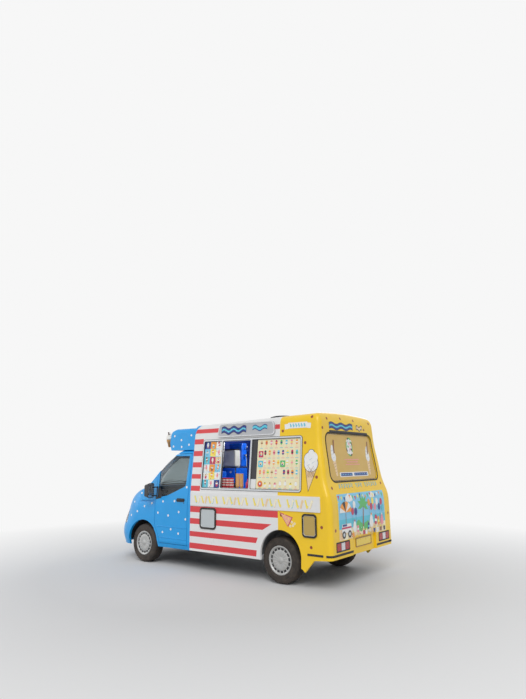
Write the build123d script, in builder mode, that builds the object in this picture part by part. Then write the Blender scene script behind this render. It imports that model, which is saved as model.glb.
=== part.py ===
from build123d import *
from math import atan2, cos, degrees, hypot, pi, radians, sin
import os

# Ice cream van on a panel-van cab. Millimetres, +Z up, nose towards -Y, +X is the serving side.
# The origin is on the ground, on the centre line, half way between the nose and the rear lamps.

# Driving dimensions: running gear
wheelbase = 3300
tyre_radius = 355
tyre_width = 225
rim_radius = 208
wheel_half_track = 866
kingpin_half_track = 700
spindle_radius = 32
running_fit = 0.08
seat_gap = 0.3

# Driving dimensions: cab
front_overhang = 1020
cab_half_width = 1030
cab_belt_z = 1150
cab_roof_z = 2125
cab_roof_half_width = 915
cab_length_behind_axle = 1350
cab_wall = 50
sill_z = 330
screen_curve_radius_y = 3500
door_gap = 8
door_lead_y = 335
door_trail_y = 1245
front_arch_radius = 440
front_house_radius = 472

# Driving dimensions: coach body
coach_front_y = 1351
coach_back_y = 4300
lamp_face_from_axle = 4306
coach_half_width = 1060
coach_bend_z = 1350
side_lean = 5.4
cant_rail_z = 2405
coach_front_roof_z = 2562
coach_rear_roof_z = 2648
roof_crown = 45
roof_corner_radius = 120
coach_wall = 40
rear_corner_radius = 75
panel_joint = 0.6
coach_sill_z = 346
floor_top_z = 600
floor_thickness = 40
rear_arch_radius = 395
rear_arch_y = 3365
rear_arch_z = 430

# Side window openings, along the van from the front axle and up from the ground
window_front_y = 1590
window_rear_y = 3780
window_low_z = 1408
window_high_z = 2285
hatch_front_y = 2066
hatch_rear_y = 2725
slider_rear_y = 2860

# Rear window
rear_window_low_z = 1570
rear_window_high_z = 2320
rear_window_low_half = 822
rear_window_high_half = 785

front_axle_y = (front_overhang - lamp_face_from_axle) / 2
rear_axle_y = front_axle_y + wheelbase
tyre_inner_x = wheel_half_track - tyre_width / 2


def aft(distance):
    """A place along the van, measured back from the front axle."""
    return front_axle_y + distance


def write(builder, name):
    """Labels a finished piece and writes it as its own file."""
    builder.part.label = name
    export_step(builder.part, f"parts/{name}.step")


def across(y):
    """A plane across the van: sketch X is the van's X, sketch Y is up, and extrusion runs forward."""
    return Plane(origin=(0, y, 0), x_dir=(1, 0, 0), z_dir=(0, -1, 0))


def lengthwise(x):
    """A plane along the van: sketch X is the van's Y, sketch Y is up, and extrusion runs to +X."""
    return Plane(origin=(x, 0, 0), x_dir=(0, 1, 0), z_dir=(1, 0, 0))


def prism(plane, outline, length, corner=0, grow=0):
    """An outline on a plane, with rounded corners, made larger by grow, and extruded."""
    with BuildPart(mode=Mode.PRIVATE) as made:
        with BuildSketch(plane) as flat:
            Polygon(*outline, align=None)
            if corner:
                fillet(flat.vertices(), corner)
            if grow:
                offset(amount=grow, kind=Kind.INTERSECTION, mode=Mode.REPLACE)
        extrude(amount=length)
    return made.part


def prism_x(outline, low_x, high_x, corner=0, grow=0):
    """An outline in the van's side view, extruded from low_x to high_x."""
    return prism(lengthwise(low_x), outline, high_x - low_x, corner, grow)


def prism_y(outline, front_y, back_y, corner=0, grow=0):
    """An outline in the van's front view, extruded from back_y forward to front_y."""
    return prism(across(back_y), outline, back_y - front_y, corner, grow)


def prism_z(outline, low_z, high_z, corner=0, grow=0):
    """An outline in plan, extruded from low_z to high_z."""
    return prism(Plane.XY.offset(low_z), outline, high_z - low_z, corner, grow)


def block(low, high):
    """A plain box between two corners."""
    size = [h - l for l, h in zip(low, high)]
    centre = [(l + h) / 2 for l, h in zip(low, high)]
    return Pos(*centre) * Box(*size, mode=Mode.PRIVATE)


def bar_x(radius, low_x, high_x, y, z):
    """A round bar across the van."""
    bar = Cylinder(radius, high_x - low_x, mode=Mode.PRIVATE)
    return Pos((low_x + high_x) / 2, y, z) * Rot(0, 90, 0) * bar


# Curved front of the cabin and of the roof pod: a side outline turned about an upright axis behind them
def bowed(outline, corner_radii, reach=36):
    axis_y = aft(screen_curve_radius_y)
    start = radians(-reach)
    plane = Plane(
        origin=(0, axis_y, 0),
        x_dir=(sin(start), -cos(start), 0),
        z_dir=(-cos(start), -sin(start), 0),
    )
    with BuildPart(mode=Mode.PRIVATE) as made:
        with BuildSketch(plane) as flat:
            Polygon(*[(axis_y - y, z) for y, z in outline], align=None)
            for (y, z), radius in corner_radii:
                fillet(flat.vertices().sort_by_distance((axis_y - y, z, 0))[0], radius)
        revolve(axis=Axis((0, axis_y, 0), (0, 0, 1)), revolution_arc=2 * reach)
    return made.part


# Nose: level sections, each with a flat side, a round corner and a shallow bowed front
# height, half width, nose distance ahead of the axle, corner set back, corner radius
nose_sections = [
    (300, 955, 940, 150, 480),
    (430, 1008, 1003, 170, 600),
    (640, 1022, front_overhang, 180, 640),
    (860, 1022, 985, 200, 760),
    (1060, 1012, 870, 180, 680),
    (1220, 982, 735, 160, 560),
    (1335, 930, 545, 125, 440),
    (1420, 850, 240, 70, 260),
]
nose_back_y = aft(420)


def nose_volume(inset):
    bottom = nose_sections[0][0]
    top = nose_sections[-1][0]
    with BuildPart(mode=Mode.PRIVATE) as made:
        for height, half, ahead, set_back, radius in nose_sections:
            drop = 60 if height == bottom and inset else inset * (height - bottom) / (top - bottom)
            side = half - inset
            tip = aft(inset - ahead)
            with BuildSketch(Plane.XY.offset(height - drop)) as flat:
                with BuildLine():
                    ThreePointArc((side, tip + set_back), (0, tip), (-side, tip + set_back))
                    Polyline(
                        (-side, tip + set_back),
                        (-side, nose_back_y),
                        (side, nose_back_y),
                        (side, tip + set_back),
                    )
                make_face()
                corners = flat.vertices().filter_by(lambda v: abs(v.Y - tip - set_back) < 1)
                fillet(corners, radius - inset)
        loft()
    return made.part


# Windscreen line in the side view on the centre line: scuttle, mid screen, header, roof
screen_line = [(-95, 1392), (400, 1868), (640, 2022), (905, cab_roof_z + 34)]


def screen_point(index, inset):
    distance, height = screen_line[index]
    return (aft(distance) + 0.69 * inset, height - 0.72 * inset)


def cabin_volume(inset):
    half = cab_half_width - inset
    roof_half = cab_roof_half_width - inset
    roof = cab_roof_z - inset
    low = sill_z - (90 if inset else 0)
    back = aft(cab_length_behind_axle)
    with BuildPart(mode=Mode.PRIVATE) as made:
        with BuildSketch(across(back)) as flat:
            with BuildLine():
                Polyline(
                    (-roof_half, roof),
                    (-half, cab_belt_z),
                    (-half, low + 110),
                    (-half + 30, low),
                    (half - 30, low),
                    (half, low + 110),
                    (half, cab_belt_z),
                    (roof_half, roof),
                )
                ThreePointArc((roof_half, roof), (0, roof + 28), (-roof_half, roof))
            make_face()
            fillet(flat.vertices().sort_by(Axis.Y)[-2:], 105 - inset)
            fillet(flat.vertices().filter_by(lambda v: abs(v.Y - cab_belt_z) < 1), 700)
        extrude(amount=cab_length_behind_axle + 250)
    bends = [(screen_point(1, inset), 900), (screen_point(2, inset), 500)]
    profile = [
        (aft(-240) + inset, 100),
        (aft(-240) + inset, 1340 - inset),
        *[screen_point(index, inset) for index in range(4)],
        (aft(2000), cab_roof_z + 60 - inset),
        (aft(2000), 100),
    ]
    # below the belt the wings take over ahead of the door, a little narrower
    below_wings = block((-1200, aft(-600), 0), (1200, aft(door_lead_y + 3) + inset, 1165))
    return (made.part & bowed(profile, bends)) - below_wings


# Coach: the side leans in above the bend, and the roof rises gently towards the rear
lean = sin(radians(side_lean)) / cos(radians(side_lean))


def side_x(height):
    """Outer face of the coach side at a height."""
    return coach_half_width - lean * max(0, height - coach_bend_z)


def coach_profile(inset):
    """Side outline of the coach with its leaning rear, from the front lower corner round."""
    low = coach_sill_z
    back = aft(coach_back_y) - inset
    with BuildSketch(lengthwise(-1300), mode=Mode.PRIVATE) as flat:
        with BuildLine():
            if inset:
                Polyline((back, 1100), (back, low - 200), (aft(coach_front_y) - 50, low - 200))
                Line((aft(coach_front_y) - 50, low - 200), (aft(coach_front_y) - 50, 2950))
            else:
                Polyline(
                    (back, 1100),
                    (back, 450),
                    (aft(3985), 425),
                    (aft(3822), 245),
                    (aft(3770), 290),
                    (aft(3700), 290),
                    (aft(3700), low),
                    (aft(coach_front_y), low),
                    (aft(coach_front_y), 2950),
                )
            Spline(
                (back, 1100),
                (back - 14, 1310),
                (back - 89, 1543),
                (back - 137, 1813),
                (back - 181, 2089),
                (back - 208, 2464 - inset),
                tangents=[(0, 1), (-0.05, 1)],
            )
            ThreePointArc(
                (back - 208, 2464 - inset),
                (back - 236, 2592 - inset),
                (back - 308, 2684 - inset),
            )
            Line((back - 308, 2684 - inset), (aft(coach_front_y) - (50 if inset else 0), 2950))
        make_face()
    return flat.sketch


def coach_volume(inset):
    half = coach_half_width - inset
    cant = side_x(cant_rail_z) - inset
    far_y = aft(coach_back_y + 150)
    near_y = aft(coach_front_y)
    low = 0
    with BuildPart(mode=Mode.PRIVATE) as made:
        with BuildSketch(across(far_y)):
            Polygon(
                (-half, low),
                (half, low),
                (half, coach_bend_z),
                (cant, cant_rail_z),
                (-cant, cant_rail_z),
                (-half, coach_bend_z),
                align=None,
            )
        extrude(amount=far_y - near_y)
        with BuildPart(mode=Mode.PRIVATE) as crown:
            for y, roof_z in ((near_y, coach_front_roof_z), (far_y, coach_rear_roof_z)):
                roof = roof_z - inset
                top = side_x(roof_z) - inset
                with BuildSketch(across(y)) as flat:
                    with BuildLine():
                        Polyline((-top, roof), (-cant, cant_rail_z), (cant, cant_rail_z), (top, roof))
                        ThreePointArc((top, roof), (0, roof + roof_crown), (-top, roof))
                    make_face()
                    fillet(flat.vertices().sort_by(Axis.Y)[-2:], roof_corner_radius - inset)
            loft()
    side_view = extrude(coach_profile(inset), amount=2600, mode=Mode.PRIVATE)
    whole = (made.part + crown.part) & side_view
    rear_corners = whole.edges().filter_by(
        lambda e: abs(e.center().X) > 910
        and abs(e.center().Y - aft(4230)) < 100
        and e.center().Z > 500
        and e.length > 200
    )
    return whole.fillet(rear_corner_radius - inset, rear_corners)


os.makedirs("parts", exist_ok=True)

# Cab skin, and the outlines that part it into doors, bonnet, lamps, grille and bumper
cab_outer = nose_volume(0) + cabin_volume(0)
cab_skin = cab_outer - (nose_volume(cab_wall) + cabin_volume(cab_wall))
front_arches = bar_x(front_arch_radius, -1300, 1300, front_axle_y, tyre_radius) - block(
    (-520, aft(-600), -200), (520, aft(600), 900)
)

door_outline = [
    (aft(345), 720),
    (aft(345), 1735),
    (aft(505), 1893),
    (aft(735), 2048),
    (aft(1245), 2055),
    (aft(1245), 400),
    (aft(500), 400),
    (aft(475), 470),
    (aft(420), 600),
]
door_window_outline = [
    (aft(395), 1222),
    (aft(674), 1269),
    (aft(1107), 1431),
    (aft(1152), 1462),
    (aft(1185), 2005),
    (aft(767), 2010),
    (aft(535), 1868),
    (aft(395), 1731),
]
screen_outline = [(-842, 1425), (842, 1425), (765, 1985), (-765, 1985)]
bumper_outline = [
    (aft(-1200), 150),
    (aft(-280), 150),
    (aft(-280), 560),
    (aft(-360), 672),
    (aft(-1200), 672),
]
bonnet_plan = [(-800, aft(-118)), (800, aft(-118)), (720, aft(-1100)), (-720, aft(-1100))]
lamp_low_z = 702
lamp_high_z = 925
lamp_inner_x = 452
grille_half_width = 428
grille_high_z = 848


door_slab_outline = [(950, 300), (950, 1150), (846, 2062), (1200, 2062), (1200, 300)]


def door_region(gap):
    """The side skin inside the door's shut line, clear of the roof and windscreen pillar."""
    slab = prism_y(door_slab_outline, aft(200), aft(1400))
    return slab & prism_x(door_outline, 600, 1200, grow=-gap)


def bonnet_region(gap):
    upper = prism_z(bonnet_plan, 935 + gap, 1600, grow=-gap)
    lower = block((-428 + gap, aft(-1100), 854 + gap), (428 - gap, aft(-600), 940 + gap))
    return upper + lower


def grille_region(gap):
    return block(
        (-grille_half_width + gap, aft(-1100), lamp_low_z + gap),
        (grille_half_width - gap, aft(-600), grille_high_z - gap),
    )


def lamp_region(gap):
    return block(
        (lamp_inner_x + gap, aft(-1100), lamp_low_z + gap),
        (1100, aft(-560) - gap, lamp_high_z - gap),
    )


# Bonnet hinges: a pin on cab lugs through a barrel on the bonnet's rear edge
bonnet_hinge_y = aft(-122)
bonnet_hinge_z = 1428
bonnet_hinge_places = (-560, 560)
hinge_pin_radius = 3.5
hinge_barrel_radius = 8


def cab_hinge_half(middle_x):
    pin = bar_x(hinge_pin_radius, middle_x - 44, middle_x + 44, bonnet_hinge_y, bonnet_hinge_z)
    for low_x in (middle_x - 50, middle_x + 22):
        pin += bar_x(hinge_barrel_radius, low_x, low_x + 28, bonnet_hinge_y, bonnet_hinge_z)
        pin += block((low_x, bonnet_hinge_y + 1, 1412), (low_x + 28, bonnet_hinge_y + 30, bonnet_hinge_z + 2))
    return pin


def bonnet_hinge_half(middle_x):
    barrel = bar_x(hinge_barrel_radius, middle_x - 20, middle_x + 20, bonnet_hinge_y, bonnet_hinge_z)
    barrel += block(
        (middle_x - 20, bonnet_hinge_y - 30, 1412), (middle_x + 20, bonnet_hinge_y - 1, bonnet_hinge_z + 2)
    )
    bore_radius = hinge_pin_radius + running_fit
    return barrel - bar_x(bore_radius, middle_x - 30, middle_x + 30, bonnet_hinge_y, bonnet_hinge_z)


with BuildPart() as cab_shell:
    add(cab_skin)
    add(front_arches, mode=Mode.SUBTRACT)
    add(prism_x(bumper_outline, -1200, 1200), mode=Mode.SUBTRACT)
    add(door_region(0), mode=Mode.SUBTRACT)
    add(mirror(door_region(0), about=Plane.YZ, mode=Mode.PRIVATE), mode=Mode.SUBTRACT)
    add(bonnet_region(0), mode=Mode.SUBTRACT)
    add(grille_region(0), mode=Mode.SUBTRACT)
    add(lamp_region(0), mode=Mode.SUBTRACT)
    add(mirror(lamp_region(0), about=Plane.YZ, mode=Mode.PRIVATE), mode=Mode.SUBTRACT)
    add(prism_y(screen_outline, aft(-240), aft(780), corner=60), mode=Mode.SUBTRACT)
    for middle_x in bonnet_hinge_places:
        add(cab_hinge_half(middle_x))
write(cab_shell, "cab_shell")

with BuildPart() as front_bumper:
    add(cab_skin)
    add(prism_x(bumper_outline, -1200, 1200, grow=-seat_gap), mode=Mode.INTERSECT)
    add(front_arches, mode=Mode.SUBTRACT)
write(front_bumper, "front_bumper")

with BuildPart() as front_grille:
    add(cab_skin)
    add(grille_region(seat_gap), mode=Mode.INTERSECT)
    for slot_z in (727, 761, 795, 829):
        with Locations((0, aft(-900), slot_z)):
            Box(780, 400, 16, mode=Mode.SUBTRACT)
write(front_grille, "front_grille")

with BuildPart() as headlamp_left:
    add(cab_skin)
    add(lamp_region(seat_gap), mode=Mode.INTERSECT)
write(headlamp_left, "headlamp_left")

with BuildPart() as headlamp_right:
    add(mirror(headlamp_left.part, about=Plane.YZ, mode=Mode.PRIVATE))
write(headlamp_right, "headlamp_right")

with BuildPart() as bonnet:
    add(cab_skin)
    add(bonnet_region(door_gap), mode=Mode.INTERSECT)
    for middle_x in bonnet_hinge_places:
        add(bonnet_hinge_half(middle_x))
write(bonnet, "bonnet")

with BuildPart() as windscreen:
    add(bowed([screen_point(i, 10) for i in range(4)] + [screen_point(i, 16) for i in (3, 2, 1, 0)], []))
    add(prism_y(screen_outline, aft(-240), aft(780), corner=60, grow=-seat_gap), mode=Mode.INTERSECT)
write(windscreen, "windscreen")

with BuildPart() as door_left:
    add(cab_skin)
    add(door_region(door_gap), mode=Mode.INTERSECT)
    add(prism_x(door_window_outline, 600, 1200, corner=20), mode=Mode.SUBTRACT)
write(door_left, "door_left")

with BuildPart() as door_right:
    add(mirror(door_left.part, about=Plane.YZ, mode=Mode.PRIVATE))
write(door_right, "door_right")

with BuildPart() as door_glass_left:
    add(cabin_volume(12) - cabin_volume(17))
    add(prism_x(door_window_outline, 600, 1200, corner=20, grow=-seat_gap), mode=Mode.INTERSECT)
    add(door_region(0), mode=Mode.INTERSECT)
write(door_glass_left, "door_glass_left")

with BuildPart() as door_glass_right:
    add(mirror(door_glass_left.part, about=Plane.YZ, mode=Mode.PRIVATE))
write(door_glass_right, "door_glass_right")

# Door mirror: a rounded shell on an arm from the door's waist
mirror_low_z = 1222
mirror_high_z = 1500
with BuildPart() as mirror_left:
    with BuildSketch(across(aft(372))):
        with Locations((1165, (mirror_low_z + mirror_high_z) / 2)):
            RectangleRounded(150, mirror_high_z - mirror_low_z, 34)
    with BuildSketch(across(aft(250))):
        with Locations((1172, (mirror_low_z + mirror_high_z) / 2 - 4)):
            RectangleRounded(112, mirror_high_z - mirror_low_z - 56, 30)
    loft()
    with BuildSketch(lengthwise(coach_half_width - 110)):
        with Locations((aft(376), 1262), (aft(376), 1420)):
            RectangleRounded(30, 22, 8)
    extrude(amount=190)
    add(cab_outer, mode=Mode.SUBTRACT)
write(mirror_left, "mirror_left")

with BuildPart() as mirror_right:
    add(mirror(mirror_left.part, about=Plane.YZ, mode=Mode.PRIVATE))
write(mirror_right, "mirror_right")

# Roof pod over the cab
def pod_volume(inset):
    low = 2118 if not inset else 2000
    half = 925 - inset
    top_half = 905 - inset
    top = 2528 - inset
    with BuildPart(mode=Mode.PRIVATE) as made:
        with BuildSketch(across(aft(cab_length_behind_axle))) as flat:
            with BuildLine():
                Polyline((-top_half, top), (-half, low), (half, low), (top_half, top))
                ThreePointArc((top_half, top), (0, top + 24), (-top_half, top))
            make_face()
            fillet(flat.vertices().sort_by(Axis.Y)[-2:], 90 - inset)
        extrude(amount=1000)
    floor = [(aft(905), 1950)] if inset else [(aft(515), 2100)]
    shelf = [(aft(905), 2150), (aft(512) + inset, 2150)] if inset else []
    profile = shelf + [
        (aft(462) + inset, 2262),
        (aft(497) + inset, 2470 - inset),
        (aft(630) + inset / 2, 2538 - inset),
        (aft(1200), 2590 - inset),
        (aft(2000), 2600 - inset),
        (aft(2000), 1950),
    ]
    nose_index = len(shelf)
    bends = [(profile[nose_index], 120), (profile[nose_index + 1], 90 - inset), (profile[nose_index + 2], 120)]
    return made.part & bowed(floor + profile, bends)


with BuildPart() as high_top:
    add(pod_volume(0))
    add(pod_volume(40), mode=Mode.SUBTRACT)
    add(Pos(0, 0, seat_gap) * cab_outer, mode=Mode.SUBTRACT)
write(high_top, "high_top")

# Coach skin, parted into two sides, roof and rear
coach_skin = coach_volume(0) - coach_volume(coach_wall)
rear_arches = bar_x(rear_arch_radius, -1300, 1300, aft(rear_arch_y), rear_arch_z) + block(
    (-1300, aft(rear_arch_y - rear_arch_radius + 4), 100),
    (1300, aft(rear_arch_y + rear_arch_radius - 4), rear_arch_z),
)
rear_seam = [
    (aft(3830), 2900),
    (aft(3960), 2464),
    (aft(4000), 2089),
    (aft(4050), 1813),
    (aft(4100), 1543),
    (aft(4175), 1310),
    (aft(4185), 1100),
    (aft(4185), 100),
    (aft(4600), 100),
    (aft(4600), 2900),
]

# Leaning plane of the serving side: X along the van, Y up the slope from the bend
serving_plane = Plane(
    origin=(coach_half_width, 0, coach_bend_z),
    x_dir=(0, 1, 0),
    z_dir=(cos(radians(side_lean)), 0, sin(radians(side_lean))),
)


def up_slope(height):
    return (height - coach_bend_z) / cos(radians(side_lean))


def slope_box(front_y, back_y, low_z, high_z, depth_in, depth_out, corner=0, grow=0):
    """A box square to the leaning side, from depth_in inside the skin to depth_out outside it."""
    outline = [
        (aft(front_y), up_slope(low_z)),
        (aft(back_y), up_slope(low_z)),
        (aft(back_y), up_slope(high_z)),
        (aft(front_y), up_slope(high_z)),
    ]
    return prism(serving_plane.offset(-depth_in), outline, depth_in + depth_out, corner, grow)


side_window = slope_box(window_front_y, window_rear_y, window_low_z, window_high_z, 80, 40, corner=48)

with BuildPart() as coach_side_left:
    add(coach_skin)
    add(block((600, aft(1300), 0), (1200, aft(4500), cant_rail_z - panel_joint)), mode=Mode.INTERSECT)
    add(prism_x(rear_seam, -1200, 1200), mode=Mode.SUBTRACT)
    add(rear_arches, mode=Mode.SUBTRACT)
    add(side_window, mode=Mode.SUBTRACT)
write(coach_side_left, "coach_side_left")

with BuildPart() as coach_side_right:
    add(mirror(coach_side_left.part, about=Plane.YZ, mode=Mode.PRIVATE))
write(coach_side_right, "coach_side_right")

vent_y = aft(2700)
vent_neck_radius = 140
with BuildPart() as coach_roof:
    add(coach_skin)
    add(block((-1200, aft(1300), cant_rail_z), (1200, aft(4500), 3000)), mode=Mode.INTERSECT)
    add(prism_x(rear_seam, -1200, 1200), mode=Mode.SUBTRACT)
    with Locations((0, vent_y, 2650)):
        Cylinder(vent_neck_radius + seat_gap, 300, mode=Mode.SUBTRACT)
write(coach_roof, "coach_roof")

rear_window_outline = [
    (-rear_window_low_half, rear_window_low_z),
    (rear_window_low_half, rear_window_low_z),
    (rear_window_high_half, rear_window_high_z),
    (-rear_window_high_half, rear_window_high_z),
]
lamp_boxes = [(510, 925), (-925, -510)]
lamp_face_y = aft(lamp_face_from_axle)
with BuildPart() as coach_rear:
    add(coach_skin)
    add(prism_x(rear_seam, -1200, 1200, grow=-panel_joint), mode=Mode.INTERSECT)
    add(prism_y(rear_window_outline, aft(3900), aft(4500), corner=110), mode=Mode.SUBTRACT)
    add(block((-406, aft(4272), 400), (406, aft(4400), 705)), mode=Mode.SUBTRACT)
    for low_x, high_x in lamp_boxes:
        add(block((low_x, aft(4280), 545), (high_x, aft(4400), 690)), mode=Mode.SUBTRACT)
write(coach_rear, "coach_rear")

rear_glass_line = [(4286 - 14, 1310), (4211, 1543), (4163, 1813), (4119, 2089), (4092, 2464)]
with BuildPart() as rear_window:
    outer_line = [(aft(y - 20), z) for y, z in rear_glass_line]
    inner_line = [(aft(y - 26), z) for y, z in reversed(rear_glass_line)]
    add(prism_x(outer_line + inner_line, -900, 900))
    add(prism_y(rear_window_outline, aft(3900), aft(4500), corner=110, grow=-seat_gap), mode=Mode.INTERSECT)
write(rear_window, "rear_window")

with BuildPart() as tail_lamp_left:
    add(block((510 + seat_gap, aft(4280) + seat_gap, 545 + seat_gap), (925 - seat_gap, lamp_face_y, 690 - seat_gap)))
    fillet(tail_lamp_left.edges().filter_by(Axis.Y), 14)
write(tail_lamp_left, "tail_lamp_left")

with BuildPart() as tail_lamp_right:
    add(mirror(tail_lamp_left.part, about=Plane.YZ, mode=Mode.PRIVATE))
write(tail_lamp_right, "tail_lamp_right")

coach_inside = coach_volume(coach_wall + panel_joint)
with BuildPart() as coach_bulkhead:
    add(coach_inside)
    add(block((-1200, aft(1358), floor_top_z + seat_gap), (1200, aft(1393), 2900)), mode=Mode.INTERSECT)
    add(block((-560, aft(1300), 500), (60, aft(1450), 2080)), mode=Mode.SUBTRACT)
write(coach_bulkhead, "coach_bulkhead")

wheel_box_radius = 420
wheel_box_y = aft(3335)
with BuildPart() as coach_floor:
    add(coach_inside)
    floor_slab = block((-1200, aft(1358), floor_top_z - floor_thickness), (1200, aft(4400), floor_top_z))
    add(floor_slab, mode=Mode.INTERSECT)
    for side in (-1, 1):
        low_x, high_x = sorted((side * 610, side * 1018))
        add(bar_x(wheel_box_radius + 14, low_x, high_x, wheel_box_y, rear_arch_z))
    box_hollow = bar_x(wheel_box_radius, 624, 1100, wheel_box_y, rear_arch_z)
    add(box_hollow, mode=Mode.SUBTRACT)
    add(mirror(box_hollow, about=Plane.YZ, mode=Mode.PRIVATE), mode=Mode.SUBTRACT)
    add(block((-1200, aft(2500), -100), (1200, aft(4400), 400)), mode=Mode.SUBTRACT)
write(coach_floor, "coach_floor")

# Serving window: an aluminium frame with three lights, and fixed panes either side of the hatch
lights = [(window_front_y + 24, hatch_front_y - 12), (hatch_front_y + 12, hatch_rear_y - 6),
          (hatch_rear_y + 18, window_rear_y - 24)]
with BuildPart() as serving_frame:
    add(slope_box(window_front_y, window_rear_y, window_low_z, window_high_z, 34, 8, corner=48, grow=-seat_gap))
    for front, back in lights:
        add(slope_box(front, back, window_low_z + 26, window_high_z - 26, 80, 40, corner=26), mode=Mode.SUBTRACT)
write(serving_frame, "serving_frame")

with BuildPart() as menu_pane_front:
    front, back = lights[0]
    add(slope_box(front, back, window_low_z + 26, window_high_z - 26, 20, -14, corner=26, grow=-seat_gap))
write(menu_pane_front, "menu_pane_front")

with BuildPart() as menu_pane_rear:
    front, back = lights[2]
    add(slope_box(front, back, window_low_z + 26, window_high_z - 26, 20, -14, corner=26, grow=-seat_gap))
write(menu_pane_rear, "menu_pane_rear")

with BuildPart() as side_window_right:
    pane = slope_box(window_front_y, window_rear_y, window_low_z, window_high_z, 22, -16, corner=48, grow=-seat_gap)
    add(mirror(pane, about=Plane.YZ, mode=Mode.PRIVATE))
write(side_window_right, "side_window_right")

# Sign boards above the windows
sign_outline = [(aft(1940), 2320), (aft(3250), 2320), (aft(3205), 2556), (aft(1985), 2556)]
with BuildPart() as sign_board_left:
    add(prism(serving_plane.offset(seat_gap), [(y, up_slope(z)) for y, z in sign_outline], 26, corner=60))
write(sign_board_left, "sign_board_left")

with BuildPart() as sign_board_right:
    add(mirror(sign_board_left.part, about=Plane.YZ, mode=Mode.PRIVATE))
write(sign_board_right, "sign_board_right")

vent_base_z = 2676
vent_radius = 225
with BuildPart() as roof_vent:
    with BuildSketch(across(vent_y)):
        with BuildLine():
            Polyline(
                (0, vent_base_z + 54),
                (0, 2600),
                (vent_neck_radius, 2600),
                (vent_neck_radius, vent_base_z),
                (vent_radius, vent_base_z),
                (vent_radius, vent_base_z + 16),
            )
            Spline(
                (vent_radius, vent_base_z + 16),
                (0, vent_base_z + 54),
                tangents=[(-0.7, 0.7), (-1, 0)],
            )
        make_face()
    revolve(axis=Axis((0, vent_y, 0), (0, 0, 1)))
write(roof_vent, "roof_vent")

# Cab floor pan with toe board, firewall and front wheel housings
cab_inside = nose_volume(cab_wall + panel_joint) + cabin_volume(cab_wall + panel_joint)
firewall_back = 160
with BuildPart() as cab_floor:
    add(block((-968, aft(468), 560), (968, aft(1340), 600)))
    add(block((-550, aft(-190), 560), (550, aft(470), 600)))
    add(block((-550, aft(-190), 560), (550, aft(-firewall_back), 1320)))
    add(block((-860, aft(-190), 818), (860, aft(-firewall_back), 1320)))
    for side in (-1, 1):
        low_x, high_x = sorted((side * 546, side * 968))
        add(bar_x(468, low_x, high_x, front_axle_y, tyre_radius))
    for side in (-1, 1):
        low_x, high_x = sorted((side * 558, side * 1100))
        add(bar_x(456, low_x, high_x, front_axle_y, tyre_radius), mode=Mode.SUBTRACT)
    add(block((-1200, aft(-600), -300), (1200, aft(600), 400)), mode=Mode.SUBTRACT)
    add(cab_inside, mode=Mode.INTERSECT)
write(cab_floor, "cab_floor")

# Ladder chassis
rail_x = 430
rail_half_width = 32
with BuildPart() as chassis_frame:
    for side in (-1, 1):
        add(block((side * rail_x - rail_half_width, aft(-860), 420), (side * rail_x + rail_half_width, aft(4150), 530)))
    for cross_y in (-830, 520, 1340, 2100, 2880, 3800, 4120):
        add(block((-rail_x, aft(cross_y - 30), 440), (rail_x, aft(cross_y + 30), 515)))
    for bearer_y in (620, 1200, 1500, 2300, 2820, 3900, 4140):
        add(block((-900, aft(bearer_y - 25), 526), (900, aft(bearer_y + 25), 560 - seat_gap)))
write(chassis_frame, "chassis_frame")

with BuildPart() as front_crossmember:
    add(block((-420, aft(-70), 330), (420, aft(70), 420 - seat_gap)))
    for side in (-1, 1):
        arm = prism_z([(side * 400, aft(-70)), (side * 780, aft(-34)), (side * 830, aft(-34)),
                       (side * 830, aft(34)), (side * 780, aft(34)), (side * 400, aft(70))], 236, 262)
        add(arm)
        low_x, high_x = sorted((side * 380, side * 420))
        add(block((low_x, aft(-70), 236), (high_x, aft(70), 340)))
write(front_crossmember, "front_crossmember")

with BuildPart() as engine_block:
    add(block((-300, aft(-770), 440), (300, aft(-250), 930)))
    fillet(engine_block.edges().filter_by(Axis.Y), 40)
    mount_reach = rail_x - rail_half_width - seat_gap
    add(block((-mount_reach, aft(-560), 470), (mount_reach, aft(-500), 515)))
write(engine_block, "engine_block")


# Knuckles, wheels and tyres
def knuckle(side):
    with BuildPart(mode=Mode.PRIVATE) as made:
        with Locations((side * 800, front_axle_y, 355)):
            Cylinder(30, 185.4)
        low_x, high_x = sorted((side * 800, side * 918))
        add(bar_x(spindle_radius, low_x, high_x, front_axle_y, tyre_radius))
        low_x, high_x = sorted((side * 800, side * 846))
        add(bar_x(70, low_x, high_x, front_axle_y, tyre_radius))
    return made.part


with BuildPart() as knuckle_left:
    add(knuckle(1))
write(knuckle_left, "knuckle_left")

with BuildPart() as knuckle_right:
    add(knuckle(-1))
write(knuckle_right, "knuckle_right")

wheel_profile = [
    (848, spindle_radius + running_fit),
    (848, 66),
    (905, 66),
    (925, 90),
    (936, 150),
    (930, 180),
    (762, 180),
    (756, 200),
    (756, rim_radius + 12),
    (768, rim_radius + 12),
    (776, rim_radius - 6),
    (956, rim_radius - 6),
    (964, rim_radius + 12),
    (976, rim_radius + 12),
    (976, rim_radius),
    (958, 180),
    (962, 150),
    (950, 84),
    (962, 70),
    (962, 0),
    (932, 0),
    (932, spindle_radius + running_fit),
]
tyre_profile = [
    (782, rim_radius - 6 + seat_gap),
    (776, rim_radius + 14),
    (756, rim_radius + 24),
    (tyre_inner_x, 262),
    (tyre_inner_x + 4, 315),
    (tyre_inner_x + 24, 345),
    (tyre_inner_x + 50, tyre_radius),
    (2 * wheel_half_track - tyre_inner_x - 50, tyre_radius),
    (2 * wheel_half_track - tyre_inner_x - 24, 345),
    (2 * wheel_half_track - tyre_inner_x - 4, 315),
    (2 * wheel_half_track - tyre_inner_x, 262),
    (976, rim_radius + 24),
    (956, rim_radius + 14),
    (950, rim_radius - 6 + seat_gap),
]


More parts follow.
